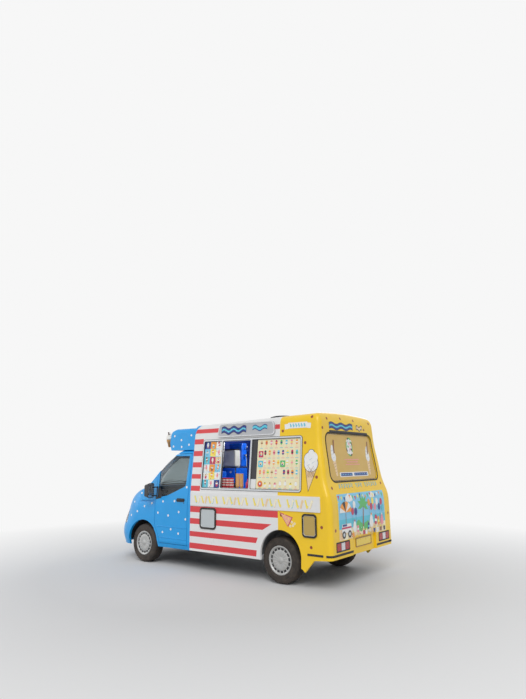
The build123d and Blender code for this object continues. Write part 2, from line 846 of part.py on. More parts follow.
def turned(profile, axle_y):
    with BuildPart(mode=Mode.PRIVATE) as made:
        with BuildSketch(across(axle_y)):
            Polygon(*[(x, tyre_radius + r) for x, r in profile], align=None)
        revolve(axis=Axis((0, axle_y, tyre_radius), (1, 0, 0)))
    return made.part


def wheel(side, axle_y):
    """A steel wheel with its slotted cover and blind hub."""
    with BuildPart(mode=Mode.PRIVATE) as made:
        add(turned(wheel_profile, axle_y))
        with BuildSketch(lengthwise(900)):
            with Locations((axle_y, tyre_radius)):
                with PolarLocations(164, 16):
                    SlotOverall(34, 13, rotation=90)
        extrude(amount=120, mode=Mode.SUBTRACT)
    return made.part if side > 0 else mirror(made.part, about=Plane.YZ, mode=Mode.PRIVATE)


def tyre(side, axle_y):
    made = turned(tyre_profile, axle_y)
    return made if side > 0 else mirror(made, about=Plane.YZ, mode=Mode.PRIVATE)


with BuildPart() as wheel_front_left:
    add(wheel(1, front_axle_y))
write(wheel_front_left, "wheel_front_left")

with BuildPart() as wheel_front_right:
    add(wheel(-1, front_axle_y))
write(wheel_front_right, "wheel_front_right")

with BuildPart() as wheel_rear_left:
    add(wheel(1, rear_axle_y))
write(wheel_rear_left, "wheel_rear_left")

with BuildPart() as wheel_rear_right:
    add(wheel(-1, rear_axle_y))
write(wheel_rear_right, "wheel_rear_right")

with BuildPart() as tyre_front_left:
    add(tyre(1, front_axle_y))
write(tyre_front_left, "tyre_front_left")

with BuildPart() as tyre_front_right:
    add(tyre(-1, front_axle_y))
write(tyre_front_right, "tyre_front_right")

with BuildPart() as tyre_rear_left:
    add(tyre(1, rear_axle_y))
write(tyre_rear_left, "tyre_rear_left")

with BuildPart() as tyre_rear_right:
    add(tyre(-1, rear_axle_y))
write(tyre_rear_right, "tyre_rear_right")

# Rear axle: tube, final drive, stub spindles, and the leaf springs clamped on it
spring_x = 560
with BuildPart() as rear_axle:
    add(bar_x(45, -800, 800, rear_axle_y, tyre_radius))
    add(bar_x(spindle_radius, -918, 918, rear_axle_y, tyre_radius))
    with BuildSketch(across(rear_axle_y)) as flat:
        with Locations((0, tyre_radius)):
            Ellipse(190, 60)
    extrude(amount=60, both=True)
    for side in (-1, 1):
        with BuildSketch(lengthwise(side * spring_x - 35)):
            with BuildLine():
                ThreePointArc((aft(2700), 405), (aft(3300), 275), (aft(3900), 405))
                Line((aft(3900), 405), (aft(3900), 425))
                ThreePointArc((aft(3900), 425), (aft(3300), 315), (aft(2700), 425))
                Line((aft(2700), 425), (aft(2700), 405))
            make_face()
        extrude(amount=70)
        for eye_y in (2700, 3900):
            inner, outer = sorted((side * (rail_x + rail_half_width + seat_gap), side * (spring_x + 35)))
            add(bar_x(26, inner, outer, aft(eye_y), 446))
write(rear_axle, "rear_axle")

# Serving counter behind the hatch, open towards the aisle
counter_inner_x = 560
counter_high_z = 1392
with BuildPart() as serving_counter:
    add(block((counter_inner_x, aft(1400), floor_top_z + seat_gap), (1012, aft(2925), counter_high_z)))
    for front, back in ((1420, 1900), (1920, 2400), (2420, 2905)):
        for low_z, high_z in ((640, 980), (1000, 1352)):
            add(block((counter_inner_x - 10, aft(front), low_z), (992, aft(back), high_z)), mode=Mode.SUBTRACT)
write(serving_counter, "serving_counter")

# Soft-serve machine: floor cabinet, and the head that overhangs the drip tray
machine_front_x = 470
with BuildPart() as soft_serve_machine:
    outline = [
        (120, floor_top_z + seat_gap),
        (machine_front_x, floor_top_z + seat_gap),
        (machine_front_x, 1240),
        (machine_front_x - 110, 1250),
        (machine_front_x - 110, 1420),
        (machine_front_x - 20, 1450),
        (machine_front_x - 20, 1700),
        (machine_front_x - 120, 1800),
        (120, 1800),
    ]
    add(prism_y(outline, aft(1430), aft(1930)))
    for tap_y in (1560, 1680, 1800):
        with Locations((machine_front_x - 62, aft(tap_y), 1405)):
            Cylinder(26, 110)
write(soft_serve_machine, "soft_serve_machine")

seat_profile = [
    (530, floor_top_z + seat_gap),
    (1010, floor_top_z + seat_gap),
    (1040, 880),
    (1150, 1400),
    (1140, 1560),
    (1080, 1560),
    (1050, 1400),
    (930, 900),
    (560, 930),
    (510, 900),
]
with BuildPart() as driver_seat:
    add(prism_x([(aft(y), z) for y, z in seat_profile], -720, -240))
    fillet(driver_seat.edges().filter_by(Axis.X).group_by(Axis.Z)[-1], 22)
write(driver_seat, "driver_seat")

with BuildPart() as passenger_seat:
    add(prism_x([(aft(y), z) for y, z in seat_profile], -40, 740))
    fillet(passenger_seat.edges().filter_by(Axis.X).group_by(Axis.Z)[-1], 22)
write(passenger_seat, "passenger_seat")

dashboard_profile = [
    (seat_gap - firewall_back, 940),
    (seat_gap - firewall_back, 1250),
    (60, 1290),
    (270, 1210),
    (330, 1120),
    (300, 960),
    (200, 900),
]
with BuildPart() as dashboard:
    add(prism_x([(aft(y), z) for y, z in dashboard_profile], -850, 850))
write(dashboard, "dashboard")

steering_plane = Plane(origin=(-480, aft(430), 1190), x_dir=(1, 0, 0), z_dir=(0, cos(radians(50)), sin(radians(50))))
with BuildPart() as steering_wheel:
    with BuildSketch(Plane(origin=steering_plane.origin, x_dir=(1, 0, 0), z_dir=steering_plane.y_dir)):
        with Locations((190, 0)):
            Circle(15)
    revolve(axis=Axis(steering_plane.origin, steering_plane.z_dir))
    with BuildSketch(steering_plane.offset(-16)):
        Circle(62)
        Rectangle(384, 40)
    extrude(amount=24)
    with BuildSketch(steering_plane.offset(-300)):
        Circle(27)
    extrude(amount=290)
    add(prism_x([(aft(y), z) for y, z in dashboard_profile], -850, 850, grow=seat_gap), mode=Mode.SUBTRACT)
    add(block((-900, aft(-200), 600), (0, aft(300), 1300)), mode=Mode.SUBTRACT)
write(steering_wheel, "steering_wheel")
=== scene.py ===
# Ice cream van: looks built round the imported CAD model. Metres, nose towards -Y, serving side +X, up +Z.
import random
from math import acos, atan2, ceil, cos, exp, pi, radians, sin, sqrt, tan

import bmesh
import bpy
from mathutils import Matrix, Vector
from mathutils.bvhtree import BVHTree


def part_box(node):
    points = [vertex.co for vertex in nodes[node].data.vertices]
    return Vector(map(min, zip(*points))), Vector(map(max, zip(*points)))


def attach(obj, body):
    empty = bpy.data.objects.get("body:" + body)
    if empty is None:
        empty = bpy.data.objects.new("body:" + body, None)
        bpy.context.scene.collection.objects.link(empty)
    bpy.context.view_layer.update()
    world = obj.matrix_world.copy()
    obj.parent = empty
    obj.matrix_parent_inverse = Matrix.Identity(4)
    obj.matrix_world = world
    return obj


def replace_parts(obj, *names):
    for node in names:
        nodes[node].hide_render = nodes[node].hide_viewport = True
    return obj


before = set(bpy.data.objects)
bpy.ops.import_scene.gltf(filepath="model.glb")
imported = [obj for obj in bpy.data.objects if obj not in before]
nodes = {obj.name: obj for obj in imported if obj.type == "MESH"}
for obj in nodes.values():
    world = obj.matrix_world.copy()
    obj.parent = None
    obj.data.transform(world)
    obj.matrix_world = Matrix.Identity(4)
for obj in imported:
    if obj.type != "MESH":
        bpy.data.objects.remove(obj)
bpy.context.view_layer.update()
scene = bpy.context.scene

# Driving places, read from the frame
frontTyreLow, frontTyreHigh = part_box("tyre_front_left")
frontAxleY = (frontTyreLow.y + frontTyreHigh.y) / 2
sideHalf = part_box("coach_side_left")[1].x
bendZ = 1.35  # height of the bend along the waist
leanAngle = radians(5.4)  # the sides lean in this much above the bend
lift = 0.0012  # how far a painted film or sticker stands off its panel
dropStart = 0.6  # places on a sheet are dropped on the skin from this far out
dropReach = 3.0  # and they look no further than this for it


def aft(distance):
    # a place along the van, measured back from the front axle
    return frontAxleY + distance


def sideX(height):
    return sideHalf - tan(leanAngle) * max(0.0, height - bendZ)


print("frame loaded:", len(nodes), "nodes")

# Materials
finishes = {}


def setInputs(node, values):
    for name, value in values.items():
        node.inputs[name].default_value = value


def addNode(tree, kind, values=None, operation=None):
    node = tree.nodes.new("ShaderNode" + kind)
    setInputs(node, values or {})
    if operation:
        node.operation = operation
    return node


def connect(tree, source, output, target, socket):
    tree.links.new(source.outputs[output], target.inputs[socket])


def newMaterial(name, values):
    material = bpy.data.materials.new(name)
    material.use_nodes = True
    shader = material.node_tree.nodes["Principled BSDF"]
    setInputs(shader, values)
    finishes[name] = material
    return material, material.node_tree, shader


def noiseNode(tree, scale, detail, roughness=0.55):
    noise = addNode(tree, "TexNoise", {"Scale": scale, "Detail": detail, "Roughness": roughness})
    connect(tree, addNode(tree, "TexCoord"), "Object", noise, "Vector")
    return noise


def rampNode(tree, source, stops):
    ramp = addNode(tree, "ValToRGB")
    elements = ramp.color_ramp.elements
    elements[0].position, elements[0].color = stops[0][0], (*stops[0][1], 1)
    elements[1].position, elements[1].color = stops[-1][0], (*stops[-1][1], 1)
    for position, colour in stops[1:-1]:
        element = elements.new(position)
        element.color = (*colour, 1)
    tree.links.new(source, ramp.inputs["Fac"])
    return ramp


def colourBy(tree, shader, source, stops, socket="Base Color"):
    # a ramp between a texture and one of the shader's sockets
    connect(tree, rampNode(tree, source, stops), "Color", shader, socket)


def grey(value):
    return (value,) * 3


def bumpNode(tree, source, shader, strength, distance):
    bump = addNode(tree, "Bump", {"Strength": strength, "Distance": distance})
    tree.links.new(source, bump.inputs["Height"])
    connect(tree, bump, "Normal", shader, "Normal")


def scaled(colour, factor):
    return tuple(min(1.0, c * factor) for c in colour)


def paint(name, colour, roughness, coat, wear, grain=2.2, metallic=0.0):
    # body paint: slight fading and road film in soft clouds, orange peel under a clear coat
    material, tree, shader = newMaterial(name,
                                         {"Metallic": metallic, "Coat Weight": coat,
                                          "Coat Roughness": 0.12})
    colourBy(tree, shader, noiseNode(tree, grain, 6.0).outputs["Fac"],
             [(0.3, scaled(colour, 1.0 - wear)), (0.52, colour), (0.75, scaled(colour, 1.0 + wear * 0.5))])
    colourBy(tree, shader, noiseNode(tree, 9.0, 3.0).outputs["Fac"],
             [(0.3, grey(roughness * 0.8)), (0.7, grey(roughness * 1.25))], "Roughness")
    bumpNode(tree, noiseNode(tree, 140.0, 2.0).outputs["Fac"], shader, 0.03, 0.0004)
    return material


def plastic(name, colour, roughness, grainSize=260.0, grainDepth=0.15):
    material, tree, shader = newMaterial(name, {"Roughness": roughness})
    colourBy(tree, shader, noiseNode(tree, 5.0, 5.0).outputs["Fac"],
             [(0.3, scaled(colour, 0.82)), (0.7, scaled(colour, 1.15))])
    bumpNode(tree, noiseNode(tree, grainSize, 3.0).outputs["Fac"], shader, grainDepth, 0.0006)
    return material


def metal(name, colour, roughness, streak=60.0):
    material, tree, shader = newMaterial(name, {"Metallic": 1.0})
    stretch = addNode(tree, "Mapping", {"Scale": (streak, 2.0, streak)})
    noise = addNode(tree, "TexNoise", {"Detail": 3.0})
    connect(tree, addNode(tree, "TexCoord"), "Object", stretch, "Vector")
    connect(tree, stretch, "Vector", noise, "Vector")
    colourBy(tree, shader, noise.outputs["Fac"], [(0.3, scaled(colour, 0.86)), (0.7, scaled(colour, 1.08))])
    colourBy(tree, shader, noise.outputs["Fac"],
             [(0.3, grey(roughness * 0.8)), (0.7, grey(roughness * 1.3))], "Roughness")
    return material


def windowGlass(name, tint):
    material, tree, shader = newMaterial(name,
                                         {"Base Color": (*tint, 1), "Transmission Weight": 1.0,
                                          "IOR": 1.45})
    colourBy(tree, shader, noiseNode(tree, 6.0, 5.0).outputs["Fac"],
             [(0.35, grey(0.02)), (0.8, grey(0.07))], "Roughness")
    return material


def rubber(name, colour=(0.018, 0.017, 0.016), dust=(0.07, 0.06, 0.05)):
    material, tree, shader = newMaterial(name, {"Roughness": 0.78})
    colourBy(tree, shader, noiseNode(tree, 7.0, 8.0, 0.65).outputs["Fac"], [(0.42, colour), (0.72, dust)])
    bumpNode(tree, noiseNode(tree, 320.0, 2.0).outputs["Fac"], shader, 0.25, 0.0006)
    return material


def wovenCloth(name, colour, thread):
    material, tree, shader = newMaterial(name, {"Roughness": 0.9, "Sheen Weight": 0.3})
    coordinates = addNode(tree, "TexCoord")
    warp, weft = [addNode(tree, "TexWave", {"Scale": 420.0}) for threads in range(2)]
    weft.bands_direction = "Z"
    weave = addNode(tree, "Math", operation="MULTIPLY")
    for place, threads in enumerate((warp, weft)):
        connect(tree, coordinates, "Object", threads, "Vector")
        connect(tree, threads, "Fac", weave, place)
    colourBy(tree, shader, weave.outputs["Value"], [(0.2, colour), (0.8, thread)])
    bumpNode(tree, weave.outputs["Value"], shader, 0.4, 0.0008)
    return material


def steelMesh(name, wire, gap):
    # expanded mesh of a fridge vent: diamond holes as colour and bump
    material, tree, shader = newMaterial(name, {"Roughness": 0.45})
    turned = addNode(tree, "Mapping", {"Rotation": (radians(45), 0, 0)})
    checks = addNode(tree, "TexVoronoi", {"Scale": 95.0, "Randomness": 0.0})
    connect(tree, addNode(tree, "TexCoord"), "Object", turned, "Vector")
    connect(tree, turned, "Vector", checks, "Vector")
    colourBy(tree, shader, checks.outputs["Distance"], [(0.28, gap), (0.42, wire)])
    bumpNode(tree, checks.outputs["Distance"], shader, 0.5, 0.002)
    return material


skyBlue = paint("blue paint", (0.001, 0.325, 0.76), 0.4, 0.15, 0.05)
milkWhite = paint("white paint", (0.78, 0.78, 0.77), 0.34, 0.35, 0.03)
stripeRed = paint("coral red stripe", (0.7, 0.042, 0.05), 0.38, 0.25, 0.05)
sunYellow = paint("yellow paint", (0.92, 0.59, 0.006), 0.36, 0.3, 0.04)
blackPlastic = plastic("black grained plastic", (0.022, 0.022, 0.024), 0.55)
blackRubber = rubber("black rubber seal")
tyreRubber = rubber("tyre rubber", (0.03, 0.024, 0.02), (0.075, 0.058, 0.046))
darkSteel = paint("black chassis paint", (0.02, 0.02, 0.021), 0.55, 0.0, 0.3, 9.0)
wheelSilver = paint("silver wheel paint", (0.46, 0.46, 0.45), 0.36, 0.2, 0.1, 14.0, 0.35)
frameAlloy = metal("anodised window frame", (0.62, 0.64, 0.66), 0.34)
signSilver = metal("silver sign edge", (0.7, 0.71, 0.73), 0.28)
signGrey = paint("grey sign board", (0.46, 0.47, 0.49), 0.36, 0.4, 0.06)
barSteel = metal("brushed stainless steel", (0.66, 0.66, 0.65), 0.24, 140.0)
castIron = paint("engine casting", (0.1, 0.1, 0.1), 0.6, 0.0, 0.3, 20.0, 0.6)
clearGlass = windowGlass("window glass", (0.74, 0.8, 0.8))
cabGlass = windowGlass("cab window glass", (0.46, 0.52, 0.53))
lampGlass = windowGlass("lamp lens", (0.93, 0.95, 0.97))
seatCloth = wovenCloth("woven seat cloth", (0.02, 0.022, 0.03), (0.06, 0.065, 0.08))
cabinPlastic = plastic("dark cabin plastic", (0.04, 0.04, 0.044), 0.62)
counterWhite = paint("white laminate", (0.78, 0.78, 0.76), 0.4, 0.1, 0.05)
floorVinyl = plastic("grey floor vinyl", (0.22, 0.23, 0.24), 0.6, 120.0, 0.3)
machineBlue = paint("machine blue panel", (0.01, 0.15, 0.9), 0.28, 0.4, 0.08)
interiorBlue = paint("blue lining", (0.015, 0.06, 0.42), 0.45, 0.2, 0.12)
interiorDark = paint("dark lining", (0.02, 0.025, 0.05), 0.55, 0.0, 0.2)
lampRed = paint("red lamp lens", (0.42, 0.012, 0.012), 0.16, 0.8, 0.12, 40.0)
lampAmber = paint("amber lamp lens", (0.8, 0.28, 0.02), 0.18, 0.8, 0.1, 40.0)
lampClear = paint("clear lamp bowl", (0.7, 0.7, 0.72), 0.15, 0.8, 0.1, 40.0)
boardCream = paint("cream menu board", (0.86, 0.78, 0.5), 0.42, 0.2, 0.05)
boardAmber = paint("amber window board", (0.66, 0.43, 0.1), 0.4, 0.2, 0.08)
ventMeshGrey = steelMesh("grey vent mesh", (0.52, 0.56, 0.57), (0.3, 0.33, 0.34))
ventMeshAmber = steelMesh("amber vent mesh", (0.5, 0.35, 0.1), (0.32, 0.21, 0.05))
plateYellow = paint("number plate face", (0.85, 0.62, 0.05), 0.3, 0.5, 0.04)
wafer = paint("wafer", (0.62, 0.33, 0.12), 0.6, 0.0, 0.2, 60.0)
chocolate = paint("chocolate", (0.1, 0.035, 0.02), 0.5, 0.1, 0.2, 60.0)
softIce = paint("soft ice", (0.88, 0.86, 0.8), 0.45, 0.2, 0.05, 30.0)
dotBrown = paint("brown dot", (0.3, 0.06, 0.02), 0.4, 0.2, 0.1)

# flat sticker colours of the menus and pictures
stickerColours = {
    "pink": (0.86, 0.3, 0.36),
    "orange": (0.88, 0.33, 0.04),
    "leaf": (0.1, 0.48, 0.14),
    "aqua": (0.1, 0.55, 0.7),
    "navy": (0.015, 0.035, 0.22),
    "berry": (0.55, 0.03, 0.1),
    "lemon": (0.92, 0.76, 0.12),
    "white": (0.86, 0.86, 0.84),
    "ink": (0.02, 0.02, 0.025),
    "sky": (0.22, 0.58, 0.82),
    "sand": (0.84, 0.62, 0.36),
    "brown": (0.28, 0.12, 0.05),
    "cream": (0.9, 0.84, 0.62),
    "cloud": (0.62, 0.66, 0.7),
    "salmon": (0.86, 0.42, 0.3),
}
sticker = {name: paint("sticker " + name, colour, 0.42, 0.15, 0.06, 25.0)
           for name, colour in stickerColours.items()}
print("materials made:", len(finishes))

nodeFinish = [  # a finish, and the CAD nodes that wear it
    (skyBlue, "cab_shell front_bumper bonnet door_left door_right high_top"),
    (blackPlastic, "front_grille mirror_left mirror_right roof_vent steering_wheel"),
    (lampGlass, "headlamp_left headlamp_right"),
    (cabGlass, "windscreen door_glass_left door_glass_right"),
    (milkWhite, "coach_side_left coach_side_right coach_roof"),
    (sunYellow, "coach_rear"),
    (clearGlass, "rear_window menu_pane_front menu_pane_rear side_window_right"),
    (lampRed, "tail_lamp_left tail_lamp_right"),
    (interiorBlue, "coach_bulkhead"),
    (floorVinyl, "coach_floor"),
    (frameAlloy, "serving_frame"),
    (signGrey, "sign_board_left sign_board_right"),
    (darkSteel, "cab_floor chassis_frame front_crossmember rear_axle"),
    (castIron, "engine_block knuckle_left knuckle_right"),
    (wheelSilver, "wheel_front_left wheel_front_right wheel_rear_left wheel_rear_right"),
    (tyreRubber, "tyre_front_left tyre_front_right tyre_rear_left tyre_rear_right"),
    (counterWhite, "serving_counter"),
    (barSteel, "soft_serve_machine"),
    (seatCloth, "driver_seat passenger_seat"),
    (cabinPlastic, "dashboard"),
]
for finish, nodeNames in nodeFinish:
    for nodeName in nodeNames.split():
        nodes[nodeName].data.materials.clear()
        nodes[nodeName].data.materials.append(finish)


# Mesh helpers
def placed(name, mesh, body):
    piece = bpy.data.objects.new(name, mesh)
    scene.collection.objects.link(piece)
    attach(piece, body)
    return piece


def addPiece(name, made, finish, body="van_body", smooth=False, bevel=0.0, segments=2):
    # made holds the vertices and the faces, or it is a list of parts that do
    vertices, faces = joined(made) if isinstance(made, list) else made
    mesh = bpy.data.meshes.new(name)
    mesh.from_pydata([tuple(v) for v in vertices], [], [tuple(f) for f in faces])
    mesh.validate()
    mesh.materials.append(finish)
    work = bmesh.new()
    work.from_mesh(mesh)
    bmesh.ops.recalc_face_normals(work, faces=work.faces)
    work.to_mesh(mesh)
    work.free()
    for polygon in mesh.polygons:
        polygon.use_smooth = smooth
    piece = placed(name, mesh, body)
    if bevel:
        modifier = piece.modifiers.new("edge", "BEVEL")
        modifier.width = bevel
        modifier.segments = segments
        modifier.limit_method = "ANGLE"
        modifier.angle_limit = radians(40)
        modifier.harden_normals = False
    return piece


class Flat:
    # a flat place on the van: u runs across the sheet, v up it and n out of it
    def __init__(self, origin, across, upward):
        self.origin = Vector(origin)
        self.u = Vector(across).normalized()
        self.v = Vector(upward).normalized()
        self.n = self.u.cross(self.v).normalized()

    def at(self, u, v, n):
        return self.origin + self.u * u + self.v * v + self.n * n


def prismMesh(flat, outline, low, high):
    # an outline pulled from low to high along the flat's normal
    count = len(outline)
    vertices = [flat.at(u, v, low) for u, v in outline] + [flat.at(u, v, high) for u, v in outline]
    faces = [list(range(count))[::-1], list(range(count, 2 * count))]
    for i in range(count):
        j = (i + 1) % count
        faces.append([i, j, count + j, count + i])
    return vertices, faces


def joined(parts):
    vertices, faces = [], []
    for partVertices, partFaces in parts:
        start = len(vertices)
        vertices += list(partVertices)
        faces += [[start + i for i in face] for face in partFaces]
    return vertices, faces


def plainBox(uLow, uHigh, vLow, vHigh):
    return [(uLow, vLow), (uHigh, vLow), (uHigh, vHigh), (uLow, vHigh)]


def roundedBox(uLow, uHigh, vLow, vHigh, radius, steps=5):
    points = []
    corners = [(uHigh - radius, vHigh - radius, 0), (uLow + radius, vHigh - radius, 90),
               (uLow + radius, vLow + radius, 180), (uHigh - radius, vLow + radius, 270)]
    for cu, cv, start in corners:
        for i in range(steps + 1):
            angle = radians(start + 90 * i / steps)
            points.append((cu + radius * cos(angle), cv + radius * sin(angle)))
    return points


def roundedOutline(points, radius, steps):
    # any convex outline with its corners rounded
    result = []
    count = len(points)
    for i, point in enumerate(points):
        here = Vector(point)
        before = (Vector(points[i - 1]) - here).normalized()
        after = (Vector(points[(i + 1) % count]) - here).normalized()
        turn = acos(max(-1, min(1, before.dot(after))))
        back = radius / tan(turn / 2)
        start, end = here + before * back, here + after * back
        centre = here + (before + after).normalized() * (radius / sin(turn / 2))
        first = atan2(start.y - centre.y, start.x - centre.x)
        last = atan2(end.y - centre.y, end.x - centre.x)
        sweep = (last - first + pi) % (2 * pi) - pi
        for k in range(steps + 1):
            angle = first + sweep * k / steps
            result.append((centre.x + radius * cos(angle), centre.y + radius * sin(angle)))
    return result


def circleOutline(cu, cv, radius, steps):
    return [(cu + radius * cos(2 * pi * i / steps), cv + radius * sin(2 * pi * i / steps))
            for i in range(steps)]


def ringMesh(flat, outer, inner, low, high):
    # a frame between two outlines with as many points each
    count = len(outer)
    vertices = []
    for outline, height in ((outer, low), (outer, high), (inner, high), (inner, low)):
        vertices += [flat.at(u, v, height) for u, v in outline]
    faces = []
    for band in range(4):
        for i in range(count):
            j = (i + 1) % count
            a, b = band * count, ((band + 1) % 4) * count
            faces.append([a + i, a + j, b + j, b + i])
    return vertices, faces


def tubeMesh(path, radius, sides, closed=False):
    # a round bar along a list of points
    points = [Vector(p) for p in path]
    count = len(points)
    vertices, faces = [], []
    frameUp = None
    for i, point in enumerate(points):
        ahead = points[(i + 1) % count] if (closed or i < count - 1) else point
        behind = points[i - 1] if (closed or i > 0) else point
        direction = (ahead - behind).normalized()
        if frameUp is None:
            frameUp = direction.orthogonal().normalized()
        frameUp = (frameUp - direction * frameUp.dot(direction)).normalized()
        sideways = direction.cross(frameUp)
        for k in range(sides):
            angle = 2 * pi * k / sides
            vertices.append(point + (frameUp * cos(angle) + sideways * sin(angle)) * radius)
    spans = count if closed else count - 1
    for i in range(spans):
        for k in range(sides):
            a = i * sides + k
            b = i * sides + (k + 1) % sides
            c = ((i + 1) % count) * sides + (k + 1) % sides
            d = ((i + 1) % count) * sides + k
            faces.append([a, b, c, d])
    if not closed:
        faces.append(list(range(sides))[::-1])
        faces.append([(count - 1) * sides + k for k in range(sides)])
    return vertices, faces


def turnedMesh(origin, axis, profile, steps):
    # a profile of (along, radius) turned round an axis
    axis = Vector(axis).normalized()
    first = axis.orthogonal().normalized()
    second = axis.cross(first)
    vertices, faces = [], []
    for i in range(steps):
        angle = 2 * pi * i / steps
        outward = first * cos(angle) + second * sin(angle)
        vertices += [Vector(origin) + axis * along + outward * radius for along, radius in profile]
    count = len(profile)
    for i in range(steps):
        j = (i + 1) % steps
        for k in range(count - 1):
            faces.append([i * count + k, j * count + k, j * count + k + 1, i * count + k + 1])
    return vertices, faces


def surfaceTree(names):
    vertices, faces = [], []
    for name in names:
        source = nodes[name]
        start = len(vertices)
        vertices += [source.matrix_world @ v.co for v in source.data.vertices]
        faces += [[start + i for i in polygon.vertices] for polygon in source.data.polygons]
    return BVHTree.FromPolygons(vertices, faces)


def meshTree(made):
    return BVHTree.FromPolygons([Vector(v) for v in made[0]], made[1])


def dropOn(tree, point, direction):
    # where a ray meets the skin, and the way that the skin faces there
    place, normal = tree.ray_cast(Vector(point), Vector(direction), dropReach)[:2]
    if place is None:
        return None, None
    if normal.dot(Vector(direction)) > 0:
        normal = -normal
    return place, normal


def onSkin(tree, flat, u, v):
    # the place on a skin under a place on a sheet, and the skin's normal there
    return dropOn(tree, flat.at(u, v, dropStart), -flat.n)


def stickOn(tree, flat, outline, stand, rings):
    # a sticker that follows the skin: its outline is dropped on it, ring by ring
    centre = (sum(p[0] for p in outline) / len(outline), sum(p[1] for p in outline) / len(outline))
    layers = [[centre]]
    for ring in range(1, rings + 1):
        share = ring / rings
        layers.append([(centre[0] + (u - centre[0]) * share, centre[1] + (v - centre[1]) * share)
                       for u, v in outline])
    vertices = []
    for layer in layers:
        for u, v in layer:
            place, normal = onSkin(tree, flat, u, v)
            if place is None:
                return None
            vertices.append(place + normal * stand)
    count = len(outline)
    faces = [[0, 1 + i, 1 + (i + 1) % count] for i in range(count)]
    for ring in range(1, rings):
        a, b = 1 + (ring - 1) * count, 1 + ring * count
        for i in range(count):
            j = (i + 1) % count
            faces.append([a + i, b + i, b + j, a + j])
    return vertices, faces


def stickerPiece(name, parts, finish, body):
    # sticker faces are turned outwards by hand, so their normals aren't recalculated
    vertices, faces = joined([part for part in parts if part])
    mesh = bpy.data.meshes.new(name)
    mesh.from_pydata([tuple(v) for v in vertices], [], faces)
    mesh.materials.append(finish)
    for polygon in mesh.polygons:
        polygon.use_smooth = True
    return placed(name, mesh, body)


def sideFlat(side):
    # for work square to the leaning skin of the serving side or the opposite one
    up = Vector((-side * sin(leanAngle), 0, cos(leanAngle)))
    along = Vector((0, side, 0))
    return Flat((side * sideHalf, 0, bendZ), along, up)


def slopeV(height):
    return (height - bendZ) / cos(leanAngle)


serving = sideFlat(1)
offside = sideFlat(-1)


# Painted panels: copies of the CAD panels, cut along the paint lines
def cutPanel(nodeName, cuts, choose):
    mesh = nodes[nodeName].data.copy()
    mesh.name = nodeName + "_painted"
    mesh.materials.clear()
    for finish in (milkWhite, stripeRed, sunYellow, skyBlue):
        mesh.materials.append(finish)
    work = bmesh.new()
    work.from_mesh(mesh)
    for point, normal, low, high in cuts:
        # only the faces whose middle lies in the cut's own range are parted
        chosen = [f for f in work.faces
                  if all(low[i] <= max(v.co[i] for v in f.verts)
                         and min(v.co[i] for v in f.verts) <= high[i] for i in range(3))]
        geometry = chosen + list({e for f in chosen
                                  for e in f.edges}) + list({v for f in chosen for v in f.verts})
        bmesh.ops.bisect_plane(work, geom=geometry, plane_co=Vector(point), plane_no=Vector(normal),
                               dist=1e-6)
    for face in work.faces:
        face.material_index = choose(face.calc_center_median(), face.normal)
        face.smooth = True
    work.to_mesh(mesh)
    work.free()
    mesh.set_sharp_from_angle(angle=radians(32))
    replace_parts(placed(nodeName + "_painted", mesh, "van_body"), nodeName)


wide = (-9, -9, -9), (9, 9, 9)
yellowLine = 3.33  # where the yellow tail starts, behind the front axle
lowerStripes = [  # low, high, start, end at the low edge, end at the high edge
    (1.005, 1.109, 1.3, 3.345, 3.335),
    (0.803, 0.9, 1.3, 3.02, 3.2),
    (0.589, 0.676, 1.3, 2.88, 2.92),
    (0.385, 0.48, 1.3, 2.886, 2.896),
]
upperStripes = [
    (2.213, 2.308, 1.3, 1.583, 1.583),
    (1.997, 2.091, 1.3, 1.583, 1.583),
    (1.793, 1.886, 1.3, 1.583, 1.583),
    (1.591, 1.673, 1.3, 1.583, 1.583),
    (1.376, 1.466, 1.3, 1.583, 1.583),
]
roofStripes = [(2.414, 2.491, 1.3, 1.96, 1.99), (2.414, 2.491, 3.225, 3.326, 3.326)]


def inStripe(stripe, y, z):
    low, high, start, endLow, endHigh = stripe
    if not low < z < high or y < aft(start):
        return False
    share = (z - low) / (high - low)
    return y < aft(endLow + (endHigh - endLow) * share)


def stripeCuts(stripes, side):
    cuts = []
    nearSide = (0.6, -9, -9) if side > 0 else (-9, -9, -9)
    farSide = (9, 9, 9) if side > 0 else (-0.6, 9, 9)
    for low, high, start, endLow, endHigh in stripes:
        for level in (low, high):
            cuts.append(((0, 0, level), (0, 0, 1), (nearSide[0], aft(start) - 0.05, level - 0.001),
                         (farSide[0], aft(max(endLow, endHigh)) + 0.05, level + 0.001)))
        slope = (endHigh - endLow) / (high - low)
        cuts.append(((0, aft(endLow), low), (0, 1, -slope),
                     (nearSide[0], aft(min(endLow, endHigh)) - 0.01, low - 0.001),
                     (farSide[0], aft(max(endLow, endHigh)) + 0.01, high + 0.001)))
        if start > 1.3:
            cuts.append(((0, aft(start), low), (0, 1, 0), (nearSide[0], aft(start) - 0.01, low - 0.001),
                         (farSide[0], aft(start) + 0.01, high + 0.001)))
    return cuts


yellowCut = [((0, aft(yellowLine), 0), (0, 1, 0), *wide)]
# the blue of the cab ends along this line, (aft, height)
blueBorder = [(1.351, 2.38), (1.365, 2.44), (1.4, 2.5), (1.44, 2.55), (1.47, 2.59)]


def aheadOfBorder(y, z):
    for (a0, z0), (a1, z1) in zip(blueBorder, blueBorder[1:]):
        if z0 <= z <= z1:
            return y < aft(a0 + (a1 - a0) * (z - z0) / (z1 - z0))
    return z > blueBorder[-1][1] and y < aft(blueBorder[-1][0])


